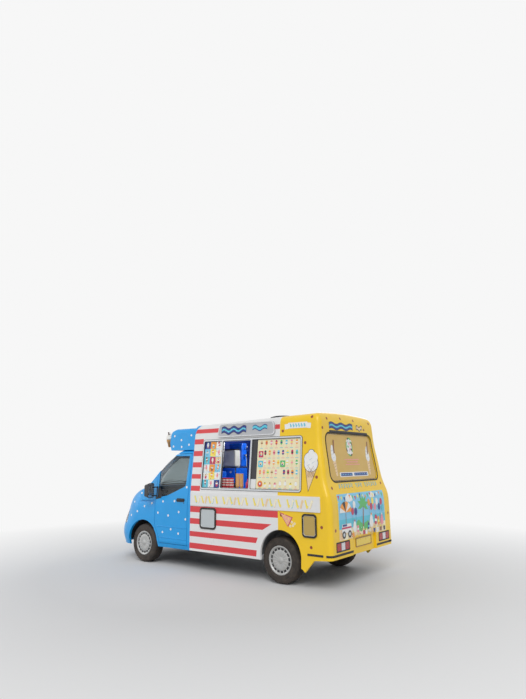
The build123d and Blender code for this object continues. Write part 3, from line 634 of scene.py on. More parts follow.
def borderCuts():
    cuts = []
    for (a0, z0), (a1, z1) in zip(blueBorder, blueBorder[1:]):
        normal = Vector((0, z1 - z0, -(a1 - a0))).normalized()
        cuts.append(((0, aft(a0), z0), tuple(normal), (-9, aft(a0) - 0.03, z0 - 0.001),
                     (9, aft(a1) + 0.03, z1 + 0.001)))
        cuts.append(((0, 0, z0), (0, 0, 1), (-9, aft(1.3), z0 - 0.001), (9, aft(1.6), z0 + 0.001)))
    last = blueBorder[-1]
    cuts.append(((0, aft(last[0]), 0), (0, 1, 0), (-9, aft(1.3), last[1] - 0.05), (9, aft(1.8), 9)))
    return cuts


def sideColour(centre, normal):
    if centre.y > aft(yellowLine):
        return 2
    if aheadOfBorder(centre.y, centre.z):
        return 3
    outward = abs(normal.x) > 0.5 and abs(centre.x) > sideX(centre.z) - 0.02
    if outward and any(inStripe(stripe, centre.y, centre.z) for stripe in lowerStripes + upperStripes):
        return 1
    return 0


def roofColour(centre, normal):
    if centre.y > aft(yellowLine):
        return 2
    if aheadOfBorder(centre.y, centre.z):
        return 3
    if abs(centre.x) > 0.8 and normal.z > -0.3 and any(inStripe(s, centre.y, centre.z)
                                                       for s in roofStripes):
        return 1
    return 0


for nodeName, side in (("coach_side_left", 1), ("coach_side_right", -1)):
    cutPanel(nodeName, yellowCut + borderCuts() + stripeCuts(lowerStripes + upperStripes, side), sideColour)
cutPanel("coach_roof", yellowCut + borderCuts() + stripeCuts(roofStripes, 1) + stripeCuts(roofStripes, -1),
         roofColour)
print("coach painted")


# Sheets for work on the skins: v is the height, u runs to the right as the sheet is faced
def sideSheet(side):
    return Flat((side * sideHalf, 0, 0), (0, side, 0), (0, 0, 1))


leftSheet, rightSheet = sideSheet(1), sideSheet(-1)
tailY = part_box("coach_rear")[1].y
rearSheet = Flat((0, tailY, 0), (-1, 0, 0), (0, 0, 1))
frontSheet = Flat((0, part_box("front_bumper")[0].y, 0), (1, 0, 0), (0, 0, 1))
roofSheet = Flat((0, 0, 2.8), (1, 0, 0), (0, 1, 0))
treeCache = {}


def skin(*names):
    if names not in treeCache:
        treeCache[names] = surfaceTree(names)
    return treeCache[names]


def sideU(side, distance):
    # the sheet's own u for a place measured back from the front axle
    return side * aft(distance)


def spanU(side, front, rear):
    # the sheet's own low and high u for a stretch of the van
    ends = sideU(side, front), sideU(side, rear)
    return min(ends), max(ends)


def denser(points, step, closed=False):
    # a line with more points, so that it can follow a curved skin
    result = []
    count = len(points)
    for i in range(count if closed else count - 1):
        a, b = Vector(points[i]), Vector(points[(i + 1) % count])
        parts = max(1, ceil((b - a).length / step))
        result += [tuple(a.lerp(b, k / parts)) for k in range(parts)]
    if not closed:
        result.append(tuple(points[-1]))
    return result


def artSheet(name, tree, flat, shapes, body="van_body", stand=lift, rings=2):
    # printed film: coloured outlines dropped on a skin, the later layers a little higher
    vertices, faces, marks = [], [], []
    colours = []
    for place, (colour, outline, layer) in enumerate(shapes):
        spread = max(max(p[0] for p in outline) - min(p[0] for p in outline),
                     max(p[1] for p in outline) - min(p[1] for p in outline))
        fine = denser(outline, 0.045, True)
        made = stickOn(tree, flat, fine, stand + 0.0007 * layer + 0.00004 * (place % 15),
                       max(rings, ceil(spread / 0.06)))
        if made is None:
            continue
        if colour not in colours:
            colours.append(colour)
        start = len(vertices)
        vertices += made[0]
        faces += [[start + i for i in face] for face in made[1]]
        marks += [colours.index(colour)] * len(made[1])
    mesh = bpy.data.meshes.new(name)
    mesh.from_pydata([tuple(v) for v in vertices], [], faces)
    for colour in colours:
        mesh.materials.append(sticker[colour] if isinstance(colour, str) else colour)
    for polygon, mark in zip(mesh.polygons, marks):
        polygon.material_index = mark
        polygon.use_smooth = True
    return placed(name, mesh, body)


def beadMesh(tree, flat, path, width, height, closed=False, sink=0.004):
    # a rounded moulding laid along a line on the skin
    places, normals = [], []
    for u, v in path:
        place, normal = onSkin(tree, flat, u, v)
        if place is None:
            return None
        places.append(place)
        normals.append(normal)
    section = [(-0.5, -sink), (-0.5, height * 0.5), (-0.3, height), (0.3, height), (0.5, height * 0.5),
               (0.5, -sink)]
    count, size = len(places), len(section)
    vertices, faces = [], []
    for i, (place, normal) in enumerate(zip(places, normals)):
        ahead = places[(i + 1) % count] if closed or i < count - 1 else place
        behind = places[i - 1] if closed or i > 0 else place
        sideways = normal.cross((ahead - behind).normalized()).normalized()
        vertices += [place + sideways * (width * across) + normal * up for across, up in section]
    for i in range(count if closed else count - 1):
        j = (i + 1) % count
        for k in range(size):
            m = (k + 1) % size
            faces.append([i * size + k, j * size + k, j * size + m, i * size + m])
    if not closed:
        faces.append([k for k in range(size)][::-1])
        faces.append([(count - 1) * size + k for k in range(size)])
    return vertices, faces


def beadPiece(name, tree, flat, path, width, height, finish, body="van_body", closed=False, sink=0.004):
    made = beadMesh(tree, flat, path, width, height, closed, sink)
    if made:
        addPiece(name, made, finish, body=body, bevel=0.0008, segments=1)


def waveRibbon(uLow, uHigh, vMiddle, height, swing, waves):
    # a ribbon whose edges swing like a wave
    top, bottom = [], []
    steps = 28
    for i in range(steps + 1):
        u = uLow + (uHigh - uLow) * i / steps
        v = vMiddle + swing * sin(2 * pi * waves * i / steps)
        top.append((u, v + height / 2))
        bottom.append((u, v - height / 2))
    return top, bottom


def ribbonShapes(colour, uLow, uHigh, vMiddle, height, swing, waves, layer):
    # a bent ribbon is laid in short pieces, because a sticker's outline has to bulge outwards
    top, bottom = waveRibbon(uLow, uHigh, vMiddle, height, swing, waves)
    return [(colour, [bottom[i], bottom[i + 1], top[i + 1], top[i]], layer) for i in range(len(top) - 1)]


def outlineAt(points, u, v, size, turn=0.0):
    c, s = cos(turn), sin(turn)
    return [(u + size * (a * c - b * s), v + size * (a * s + b * c)) for a, b in points]


def cutOut(colour, points, u, v, size, turn=0.0, layer=1):
    return colour, outlineAt(points, u, v, size, turn), layer


def disc(colour, u, v, radius, steps, layer):
    return colour, circleOutline(u, v, radius, steps), layer


def raised(shapes, up):
    return [(colour, outline, layer + up) for colour, outline, layer in shapes]


# Generic sweets for the menu boards, drawn in a unit box
lollyBody = roundedBox(-0.17, 0.17, -0.12, 0.5, 0.16, 3)
lollyBand = plainBox(-0.17, 0.17, 0.08, 0.24)
lollyStick = plainBox(-0.04, 0.04, -0.42, -0.12)
coneWafer = [(-0.17, 0.0), (0.0, -0.5), (0.17, 0.0)]
coneSwirl = [((0.0, 0.05), 0.21), ((0.0, 0.21), 0.16), ((0.0, 0.34), 0.1)]
tubCup = [(-0.14, -0.4), (0.14, -0.4), (0.22, 0.0), (-0.22, 0.0)]


def lolly(u, v, size, body, band, turn=0.0):
    return [cutOut("sand", lollyStick, u, v, size, turn), cutOut(body, lollyBody, u, v, size, turn),
            cutOut(band, lollyBand, u, v, size, turn, layer=2)]


def coneShapes(u, v, size, ice, top):
    shapes = [cutOut("sand", coneWafer, u, v, size)]
    for (cu, cv), radius in coneSwirl:
        shapes.append(cutOut(ice, circleOutline(cu, cv, radius, 10), u, v, size, layer=2))
    shapes.append(cutOut(top, circleOutline(0.02, 0.42, 0.06, 8), u, v, size, layer=3))
    return shapes


def tubShapes(u, v, size, cup, ice):
    return [cutOut(cup, tubCup, u, v, size),
            cutOut(ice, circleOutline(-0.09, 0.06, 0.14, 10), u, v, size, layer=2),
            cutOut(ice, circleOutline(0.1, 0.07, 0.14, 10), u, v, size, layer=2),
            cutOut("brown", circleOutline(0.0, 0.18, 0.09, 8), u, v, size, layer=3)]


# Menu board behind the rear pane: five rows of generic lollies, tubs and cones
menuBoard = {"front": 2.868, "rear": 3.74, "rows": [2.17, 2.005, 1.845, 1.69, 1.52], "size": 0.125}
menuRows = [
    ["sand/brown", "orange/berry", "pink/white", "berry/orange", "leaf/navy", "aqua/white", "pink/lemon",
     "orange/white"],
    ["box berry", "ink/berry", "orange/sand", "pink/berry", "sky/navy", "navy/pink", "lemon/aqua",
     "berry/ink", "aqua/leaf"],
    ["box aqua", "white/pink", "pink/orange", "orange/white", "lemon/orange", "wide leaf", "white/lemon",
     "sand/pink", "leaf/white"],
    ["orange/pink", "pink/orange", "lemon/leaf", "sand/brown", "pink/white", "", "navy/berry", "berry/ink",
     "orange/navy", "aqua/white"],
    ["disc orange", "tub lemon", "tub sand", "tub pink", "cone pink", "cone berry", "tub lemon",
     "cone orange"],
]


def menuShapes(side):
    shapes = []
    size = menuBoard["size"]
    for height, row in zip(menuBoard["rows"], menuRows):
        pitch = (menuBoard["rear"] - menuBoard["front"] - 0.05) / len(row)
        for place, item in enumerate(row):
            u = sideU(side, menuBoard["front"] + 0.03 + pitch * (place + 0.5))
            if item.startswith("box") or item.startswith("wide"):
                colour = item.split()[1]
                shapes.append(cutOut(colour, roundedBox(-0.4, 0.4, -0.42, 0.42, 0.06, 2), u, height, size))
                shapes.append(cutOut("white", circleOutline(0, 0.02, 0.24, 12), u, height, size, layer=2))
                shapes += [cutOut(tint, circleOutline(a, b, 0.1, 8), u, height, size, layer=3)
                           for tint, a, b in (("orange", -0.1, 0.1), ("lemon", 0.12, 0.02),
                                              ("navy", -0.04, -0.1))]
            elif item.startswith("disc"):
                shapes.append(cutOut("orange", circleOutline(0, 0, 0.44, 16), u, height, size))
                shapes.append(cutOut("berry", circleOutline(0, 0, 0.3, 14), u, height, size, layer=2))
                shapes.append(cutOut("white", circleOutline(0, 0.05, 0.14, 10), u, height, size, layer=3))
            elif item.startswith("tub"):
                shapes += tubShapes(u, height, size * 0.9, "white", item.split()[1])
            elif item.startswith("cone"):
                shapes += coneShapes(u, height, size, "white", item.split()[1])
            elif item:
                body, band = item.split("/")
                shapes += lolly(u, height, size, body, band)
            if item:
                tag = outlineAt(plainBox(-0.24, 0.24, -0.56, -0.5), u, height, size)
                shapes.append(("pink" if place % 2 else "aqua", tag, 1))
    return shapes


# Collage behind the front pane: rounded cards, each with a generic sweet
collage = {"front": 1.622, "rear": 2.046, "low": 1.44, "high": 2.252, "columns": 3, "rows": 6}
cardColours = ["navy", "orange", "white", "sky", "lemon", "white", "aqua", "berry", "sand", "white",
               "orange", "sky", "white", "lemon", "white", "aqua", "white", "navy"]


def collageShapes(side):
    random.seed(11)
    wide = (collage["rear"] - collage["front"]) / collage["columns"]
    tall = (collage["high"] - collage["low"]) / collage["rows"]
    shapes = []
    for row in range(collage["rows"]):
        for column in range(collage["columns"]):
            u = sideU(side, collage["front"] + wide * (column + 0.5))
            v = collage["high"] - tall * (row + 0.5)
            card = cardColours[row * collage["columns"] + column]
            tilt = random.uniform(-0.1, 0.1)
            shapes.append(cutOut(card,
                                 roundedBox(-wide * 0.5, wide * 0.5, -tall * 0.48, tall * 0.48, 0.015, 3),
                                 u, v, 1.0, tilt))
            tint = random.choice(["orange", "berry", "pink", "lemon", "aqua", "brown", "navy"])
            if (row + column) % 3 == 0:
                shapes += raised(coneShapes(u, v, 0.12, "white" if card != "white" else "pink", tint), 1)
            elif (row + column) % 3 == 1:
                shapes += raised(tubShapes(u, v, 0.12, tint, "white" if card != "white" else "sand"), 1)
            else:
                shapes += raised(lolly(u, v, 0.13, tint, "white", random.uniform(-0.4, 0.4)), 1)
            for speck in range(4):
                du, dv = random.uniform(-0.42, 0.42) * wide, random.uniform(-0.4, 0.4) * tall
                shapes.append(disc(random.choice(["orange", "navy", "berry", "leaf", "brown"]), u + du,
                                   v + dv, 0.008, 6, 4))
    return shapes


paneTrees = {1: (skin("menu_pane_front"), skin("menu_pane_rear")), -1: (skin("side_window_right"),) * 2}
sides = ((1, "left", leftSheet), (-1, "right", rightSheet))
for side, word, sheet in sides:
    frontTree, rearTree = paneTrees[side]
    low, high = spanU(side, collage["front"], collage["rear"])
    backing = [("sky", roundedBox(low, high, collage["low"], collage["high"], 0.02, 3), 0)]
    artSheet(f"collage_board_{word}", frontTree, sheet, backing + collageShapes(side))
    low, high = spanU(side, 2.866, 3.742)
    backing = [(boardCream, roundedBox(low, high, 1.442, 2.25, 0.02, 3), 0)]
    artSheet(f"menu_board_{word}", rearTree, sheet, backing + menuShapes(side))
print("menu boards made")

# Serving window: a gasket round the frame, rubber beads round its lights, and the sliding sash
windowTrim = {"front": 1.59, "rear": 3.78, "low": 1.408, "high": 2.285}
windowLights = {"places": ((1.614, 2.054), (2.078, 2.719), (2.743, 3.756)), "low": 1.434, "high": 2.259}
for side, word, flat in ((1, "left", serving), (-1, "right", offside)):
    sill, head = slopeV(windowTrim["low"]), slopeV(windowTrim["high"])
    lightLow, lightHigh = slopeV(windowLights["low"]), slopeV(windowLights["high"])
    parts = []
    for front, rear in windowLights["places"]:
        low, high = spanU(side, front, rear)
        outer = roundedBox(low, high, lightLow, lightHigh, 0.026)
        inner = roundedBox(low + 0.007, high - 0.007, lightLow + 0.007, lightHigh - 0.007, 0.022)
        parts.append(ringMesh(flat, outer, inner, -0.014, 0.0015))
    addPiece(f"light_beads_{word}", parts, blackRubber)
    low, high = spanU(side, windowTrim["front"], windowTrim["rear"])
    outer = roundedBox(low - 0.006, high + 0.006, sill - 0.006, head + 0.006, 0.052, 7)
    inner = roundedBox(low + 0.004, high - 0.004, sill + 0.004, head - 0.004, 0.046, 7)
    addPiece(f"window_gasket_{word}", ringMesh(flat, outer, inner, -0.002, 0.006), blackRubber)
    if side < 0:
        outer = inner
        inner = roundedBox(low + 0.024, high - 0.024, sill + 0.026, head - 0.026, 0.026, 7)
        bars = [ringMesh(flat, outer, inner, -0.015, 0.008)]
        for middle in (2.066, 2.731):
            centre = sideU(side, middle)
            bars.append(prismMesh(flat,
                                  plainBox(centre - 0.012, centre + 0.012, slopeV(1.43), slopeV(2.262)),
                                  -0.015, 0.008))
        addPiece(f"window_frame_{word}", bars, frameAlloy, bevel=0.002)
    low, high = spanU(side, 2.745, 2.862)
    sash = prismMesh(flat, plainBox(low, high, slopeV(1.6), slopeV(2.255)), -0.0135, -0.006)
    addPiece(f"sliding_sash_{word}", sash, cabinPlastic, bevel=0.002)
    foot = prismMesh(flat, plainBox(low, high, slopeV(1.438), slopeV(1.598)), -0.0135, -0.007)
    addPiece(f"sash_foot_{word}", foot, counterWhite, bevel=0.002)
    rails = []
    for level in (1.437, 2.247):
        low, high = spanU(side, 2.08, 2.717)
        rails.append(prismMesh(flat, plainBox(low, high, slopeV(level), slopeV(level) + 0.009), -0.03,
                               -0.002))
    edge = sideU(side, 2.742)
    rails.append(prismMesh(flat, plainBox(edge - 0.008, edge + 0.008, slopeV(1.436), slopeV(2.257)), -0.013,
                           0.006))
    addPiece(f"sash_rails_{word}", rails, frameAlloy, bevel=0.0015)
print("serving windows trimmed")

# Dots: white ones on the blue cab and pod, brown ones on the yellow tail, each a film on the panel under it
cabDots = {
    "radius": 0.021,
    "side": [(-0.079, 1.297), (0.016, 1.048), (-0.191, 0.942), (-0.395, 0.857), (0.224, 1.111),
             (0.44, 0.945), (0.574, 1.158), (0.893, 1.175), (0.732, 0.908), (1.017, 0.984), (1.183, 1.432),
             (1.2, 0.863), (0.813, 0.665), (0.586, 0.6), (1.019, 0.601), (0.726, 2.396), (0.922, 2.312),
             (0.708, 2.195), (0.939, 2.181), (1.14, 2.217), (1.191, 2.394), (-0.61, 0.76),
             (-0.33, 1.12), (-0.56, 0.98)],
    "bonnet": [(-0.62, -0.45), (-0.3, -0.36), (0.02, -0.52), (0.34, -0.34), (0.63, -0.48), (-0.48, -0.74),
               (-0.14, -0.79), (0.2, -0.72), (0.52, -0.8), (0.0, -0.3), (-0.66, -0.27), (0.68, -0.26)],
    "bumper": [(-0.74, 0.6), (-0.5, 0.44), (-0.24, 0.56), (0.0, 0.6), (0.26, 0.55), (0.52, 0.42),
               (0.76, 0.58)],
    "podFront": [(-0.72, 2.42), (-0.46, 2.3), (-0.2, 2.43), (0.08, 2.28), (0.32, 2.42), (0.58, 2.3),
                 (0.77, 2.43), (-0.82, 2.24), (0.84, 2.23)],
    "podTop": [(-0.7, 0.82), (-0.42, 1.1), (-0.12, 0.86), (0.18, 1.16), (0.46, 0.88), (0.72, 1.12),
               (-0.76, 1.22), (0.02, 1.28)],
}
tailDots = {
    "radius": 0.024,
    "side": [(3.836, 2.171), (4.061, 1.64), (3.948, 2.58), (3.388, 2.375), (3.395, 1.05), (4.139, 0.911),
             (3.944, 0.612), (3.6, 2.6)],
    "rear": [(0.87, 2.403), (-0.563, 2.425), (0.882, 1.471), (-0.847, 1.493), (0.7, 2.56), (-0.2, 2.57),
             (-0.78, 2.55), (0.25, 2.58), (-0.93, 0.98), (0.93, 0.86)],
}


def dotPiece(name, bodyNodes, body, marks, finish):
    # each mark is a sheet, a place on it and a radius; it goes on the body whose skin is met first
    parts = []
    everySkin = skin(*sorted(nodes))
    own = skin(*bodyNodes)
    for flat, u, v, radius in marks:
        first, normal = onSkin(everySkin, flat, u, v)
        place, normal = onSkin(own, flat, u, v)
        if first is None or place is None or (first - place).length > 0.0005:
            continue
        facing = max(0.35, abs(normal.dot(flat.n)))
        outline = circleOutline(u, v, radius, 14)
        hits = [onSkin(everySkin, flat, a, b)[0] for a, b in outline]
        depth = [(hit - flat.origin).dot(flat.n) for hit in hits if hit is not None]
        # how far a slanted dot may run in depth
        allowed = 2.4 * radius * sqrt(1 - facing ** 2) + 0.006
        if len(depth) < len(hits) or max(depth) - min(depth) > allowed:
            continue
        parts.append(stickOn(own, flat, outline, lift, 2))
    if parts:
        stickerPiece(name, parts, finish, body)


dotMarks = []
for side, sheet in ((1, leftSheet), (-1, rightSheet)):
    dotMarks += [(sheet, sideU(side, distance), height, cabDots["radius"])
                 for distance, height in cabDots["side"]]
dotMarks += [(frontSheet, u, v, cabDots["radius"]) for u, v in cabDots["bumper"] + cabDots["podFront"]]
dotMarks += [(roofSheet, x, aft(distance), cabDots["radius"]) for x, distance in cabDots["bonnet"]
             + cabDots["podTop"]]
dotPiece("white_dots_body", ("cab_shell", "front_bumper", "high_top"), "van_body", dotMarks,
         sticker["white"])
for side, word in ((1, "left"), (-1, "right")):
    dotPiece(f"white_dots_door_{word}", (f"door_{word}",), f"door_{word}", dotMarks, sticker["white"])
dotPiece("white_dots_bonnet", ("bonnet",), "bonnet", dotMarks, sticker["white"])
tailMarks = []
for side, sheet in ((1, leftSheet), (-1, rightSheet)):
    tailMarks += [(sheet, sideU(side, distance), height, tailDots["radius"])
                  for distance, height in tailDots["side"]]
tailMarks += [(rearSheet, -x, height, tailDots["radius"]) for x, height in tailDots["rear"]]
dotPiece("brown_dots", ("coach_rear", "coach_side_left", "coach_side_right", "coach_roof"), "van_body",
         tailMarks, dotBrown)
print("dots laid")

# Waist boards with rows of pale sprinkles
waistArt = {"start": 1.362, "end": 4.127, "low": 1.12, "high": 1.35, "stand": 0.016, "front": 1.46,
            "rear": 4.06, "pitch": 0.085, "colours": ["lemon", "cream", "lemon", "sand"]}
stroke = roundedBox(-0.11, 0.11, -0.5, 0.5, 0.11, 3)
for side, word, sheet in sides:
    random.seed(5)
    along = spanU(side, waistArt["start"], waistArt["end"])
    boardMesh = prismMesh(sheet, roundedBox(*along, waistArt["low"], waistArt["high"], 0.012, 3), -0.002,
                          waistArt["stand"])
    addPiece(f"waist_board_{word}", boardMesh, milkWhite, bevel=0.003)
    board = meshTree(boardMesh)
    shapes = []
    count = int((waistArt["rear"] - waistArt["front"]) / waistArt["pitch"])
    for i in range(count):
        if i % 8 == 7:
            continue
        u = sideU(side, waistArt["front"] + waistArt["pitch"] * (i + 0.5))
        tint = waistArt["colours"][i % 4]
        lean = (-0.32 if i % 2 else 0.32) + random.uniform(-0.08, 0.08)
        shapes.append(cutOut("aqua" if i % 5 == 0 else "sand", stroke, u + 0.004, 1.231, 0.14, lean,
                             layer=0))
        shapes.append(cutOut(tint, stroke, u, 1.235, 0.13, lean))
        shapes.append(disc(tint, u + 0.03, 1.2 + 0.07 * (i % 2), 0.012, 8, 1))
    artSheet(f"sprinkle_row_{word}", board, sheet, shapes)

# Sign boards: a silver rim and a plain wave
signTrim = {"front": 1.94, "rear": 3.25, "low": 2.32, "topFront": 1.985, "topRear": 3.205, "high": 2.556,
            "rim": 0.016}
for side, word, flat in ((1, "left", serving), (-1, "right", offside)):
    corners = [(signTrim["front"], signTrim["low"]), (signTrim["rear"], signTrim["low"]),
               (signTrim["topRear"], signTrim["high"]), (signTrim["topFront"], signTrim["high"])]
    corners = [(sideU(side, distance), slopeV(height)) for distance, height in corners]
    if side < 0:
        corners = corners[::-1]
    outer = roundedOutline(corners, 0.06, 6)
    centre = Vector((sum(p[0] for p in corners) / 4, sum(p[1] for p in corners) / 4))
    halfU = (signTrim["rear"] - signTrim["front"]) / 2
    halfV = (signTrim["high"] - signTrim["low"]) / 2
    inner = [(centre.x + (u - centre.x) * (1 - signTrim["rim"] / halfU),
              centre.y + (v - centre.y) * (1 - signTrim["rim"] / halfV)) for u, v in outer]
    addPiece(f"sign_rim_{word}", ringMesh(flat, outer, inner, 0.0255, 0.0305), signSilver,
             bevel=0.0012)
    sheet = leftSheet if side > 0 else rightSheet
    board = skin(f"sign_board_{word}")
    shapes = []
    for colour, thick, layer in (("ink", 0.118, 0), ("navy", 0.1, 1)):
        a, b = spanU(side, 2.04, 2.62)
        shapes += ribbonShapes(colour, a, b, 2.437, thick, 0.022, 2.5, layer)
    a, b = spanU(side, 2.05, 2.61)
    shapes += ribbonShapes("aqua", a, b, 2.437, 0.03, 0.022, 2.5, 2)
    for k in range(9):
        u = sideU(side, 2.08 + k * 0.064)
        shapes.append(disc("sky", u, 2.437 + 0.03 * cos(k * 1.7), 0.011, 8, 3))
    a, b = spanU(side, 2.76, 3.08)
    shapes += ribbonShapes("navy", a, b, 2.452, 0.075, 0.02, 1.5, 0)
    shapes += ribbonShapes("aqua", a, b, 2.452, 0.045, 0.02, 1.5, 1)
    artSheet(f"sign_wave_{word}", board, sheet, shapes)
    # the small ribbon near the tail
    bodySkin = skin(f"coach_side_{word}")
    ribbon = []
    for distance, lean in ((3.47, 0.12), (3.89, -0.12)):
        ribbon.append(cutOut("white", plainBox(-0.045, 0.045, -0.042, 0.042), sideU(side, distance), 2.445,
                             1.0, lean * side, layer=0))
    a, b = spanU(side, 3.49, 3.87)
    ribbon.append(("white", roundedBox(a, b, 2.41, 2.505, 0.012, 3), 1))
    for k in range(6):
        u = sideU(side, 3.545 + k * 0.054)
        ribbon.append(cutOut("aqua", roundedBox(-0.01, 0.01, -0.032, 0.032, 0.009, 2), u, 2.457, 1.0, 0.3,
                             layer=2))
        ribbon.append(disc("sky", u + 0.024, 2.452, 0.008, 7, 2))
    artSheet(f"small_ribbon_{word}", skin(f"coach_side_{word}", "coach_roof", "coach_rear"), sheet, ribbon)
    # cone picture beside the window, and a slice of wafer over the rear wheel
    cone = []
    c = sideU(side, 3.955)
    lean = -0.12 * side
    waferPoints = [(-0.105, 0.0), (0.0, -0.36), (0.105, 0.0)]
    cone.append(cutOut("ink", [(-0.118, 0.012), (0.0, -0.385), (0.118, 0.012)], c, 1.795, 1.0, lean,
                       layer=0))
    cone.append(cutOut("sand", waferPoints, c, 1.79, 1.0, lean))
    for k in range(-3, 4):
        cone.append(cutOut("brown", plainBox(-0.0035, 0.0035, -0.165, 0.165), c + 0.022 * k,
                           1.72 - 0.012 * abs(k), 0.62 - 0.1 * abs(k), 0.5, layer=2))
        cone.append(cutOut("brown", plainBox(-0.0035, 0.0035, -0.165, 0.165), c + 0.022 * k,
                           1.72 - 0.012 * abs(k), 0.62 - 0.1 * abs(k), -0.5, layer=2))
    for du, dv, radius in ((0.0, 0.045, 0.125), (-0.03, 0.115, 0.1), (0.03, 0.135, 0.09),
                           (0.0, 0.205, 0.055)):
        cone.append(disc("ink", c + du, 1.8 + dv, radius + 0.008, 18, 1))
    for du, dv, radius in ((0.0, 0.045, 0.125), (-0.03, 0.115, 0.1), (0.03, 0.135, 0.09),
                           (0.0, 0.205, 0.055)):
        cone.append(disc("white", c + du, 1.8 + dv, radius, 18, 2))
    for du, dv in ((-0.05, 0.02), (0.04, 0.06), (-0.01, 0.11), (0.06, 0.13)):
        cone.append(cutOut("cloud", roundedBox(-0.03, 0.03, -0.006, 0.006, 0.005, 2), c + du, 1.8 + dv, 1.0,
                           0.5, layer=3))
    flake = roundedBox(-0.02, 0.02, -0.085, 0.085, 0.008, 2)
    cone.append(cutOut("brown", flake, c + 0.075 * side, 1.985, 1.0, -0.45 * side, layer=3))
    artSheet(f"cone_picture_{word}", skin(f"coach_side_{word}", "coach_rear"), sheet, cone)
    piece = []
    c = sideU(side, 3.5)
    waferSlice = [(-0.13, 0.105), (0.13, 0.035), (0.035, -0.115)]
    if side < 0:
        waferSlice = [(-u, v) for u, v in waferSlice][::-1]
    piece.append(cutOut("berry", waferSlice, c - 0.01 * side, 0.992, 1.0, layer=0))
    piece.append(cutOut("salmon", waferSlice, c - 0.01 * side, 0.992, 0.84))
    for du, dv in ((-0.06, 0.05), (-0.01, 0.03), (0.04, 0.01), (0.0, -0.02), (0.02, -0.06), (-0.03, 0.07)):
        piece.append(disc("lemon", c + du * side, 0.992 + dv, 0.01, 8, 2))
    for du, dv in ((0.1, -0.03), (0.12, -0.08), (0.07, -0.09), (0.15, -0.05)):
        piece.append(disc("cream", c + du * side, 0.985 + dv, 0.02, 10, 1))
        piece.append(disc("sand", c + du * side, 0.985 + dv, 0.01, 8, 2))
    artSheet(f"wafer_picture_{word}", bodySkin, sheet, piece)
print("signs and pictures laid")

# Side vents on the serving side: a rubber surround round a sunk mesh panel
ventFaces = {  # finish, front, rear, low, high, corner, width of the surround
    "side_vent_front": (ventMeshGrey, 1.606, 1.996, 0.734, 1.096, 0.06, 0.03),
    "side_vent_rear": (ventMeshAmber, 3.793, 4.055, 0.748, 1.093, 0.055, 0.026),
}
ventProud = 0.018
for ventName, (mesh, front, rear, low, high, corner, band) in ventFaces.items():
    u0, u1 = sideU(1, front), sideU(1, rear)
    outer = roundedBox(u0, u1, low, high, corner, 6)
    inner = roundedBox(u0 + band, u1 - band, low + band, high - band, max(0.012, corner - band * 0.7), 6)
    addPiece(ventName + "_surround", ringMesh(leftSheet, outer, inner, -0.002, ventProud), blackRubber,
             bevel=0.004)
    addPiece(ventName + "_mesh", prismMesh(leftSheet, inner, -0.001, 0.007), mesh)
    rim = [((u - (u0 + u1) / 2) * 0.985 + (u0 + u1) / 2, (v - (low + high) / 2) * 0.985 + (low + high) / 2)
           for u, v in inner]
    rimPath = [leftSheet.at(u, v, 0.008) for u, v in rim]
    addPiece(ventName + "_rim", tubeMesh(rimPath, 0.0045, 6, closed=True), frameAlloy,
             smooth=True)
    screws = []
    for u in (u0 + band / 2 + 0.006, u1 - band / 2 - 0.006):
        for v in (low + 0.062, high - 0.062):
            head = [(0.0, 0.0001), (0.0, 0.006), (0.0015, 0.005), (0.003, 0.0001)]
            screws.append(turnedMesh(leftSheet.at(u, v, ventProud - 0.001), (1, 0, 0), head, 10))
    addPiece(ventName + "_screws", screws, barSteel)

# Rear: gasket of the window, a black strip over it that is painted shadow of the recess, the amber board
# with its pictures
rearGlass = {"low": 1.57, "high": 2.32, "lowHalf": 0.822, "highHalf": 0.785}
glassCorners = [(-rearGlass["lowHalf"], rearGlass["low"]), (rearGlass["lowHalf"], rearGlass["low"]),
                (rearGlass["highHalf"], rearGlass["high"]), (-rearGlass["highHalf"], rearGlass["high"])]
tail = skin("coach_rear")
tailGlass = skin("rear_window")
gasketPath = roundedOutline([(u * 1.018, 1.945 + (v - 1.945) * 1.036) for u, v in glassCorners], 0.12, 7)
beadPiece("rear_window_gasket", tail, rearSheet, denser(gasketPath, 0.09, True), 0.024, 0.006, blackRubber,
          closed=True)
# a raised black strip over the window: its black is painted shadow under the top edge of the window's
# recess
recessShadowPath = denser([(-0.66, 2.354), (0.66, 2.354)], 0.08)
beadPiece("rear_window_recess_shadow", tail, rearSheet, recessShadowPath, 0.04, 0.012, blackPlastic)
board = [(boardAmber,
          roundedOutline([(u * 0.985, 1.945 + (v - 1.945) * 0.975) for u, v in glassCorners], 0.1, 6), 0)]
for k in range(16):
    angle = 2 * pi * k / 16
    tint = ["leaf", "ink", "white", "leaf"][k % 4]
    board.append(cutOut(tint, roundedBox(-0.012, 0.012, -0.03, 0.03, 0.01, 2), -0.02 + 0.1 * cos(angle),
                        2.115 + 0.145 * sin(angle), 1.0, angle, layer=2))
board.append(("white",
              [(-0.02 + 0.085 * cos(a * 0.2618), 2.115 + 0.13 * sin(a * 0.2618)) for a in range(24)], 1))
for du, dv, tint in ((-0.02, 2.17, "pink"), (0.02, 2.13, "sand"), (-0.06, 2.12, "leaf"),
                     (0.0, 2.08, "pink"), (-0.03, 2.05, "cloud"), (0.03, 2.19, "leaf"),
                     (-0.05, 2.2, "cloud"), (0.04, 2.07, "ink")):
    board.append(disc(tint, du, dv, 0.021, 9, 3))
for row, (height, half) in enumerate(((1.905, 0.26), (1.865, 0.2), (1.825, 0.25))):
    for k in range(-6, 7):
        u = k * half / 6.5
        board.append(cutOut("pink", roundedBox(-0.013, 0.013, -0.009, 0.009, 0.006, 2), u, height, 1.0,
                            0.2 * (k % 3 - 1)))
board.append(("white", roundedBox(-0.5, 0.5, 1.628, 1.7, 0.02, 3), 1))
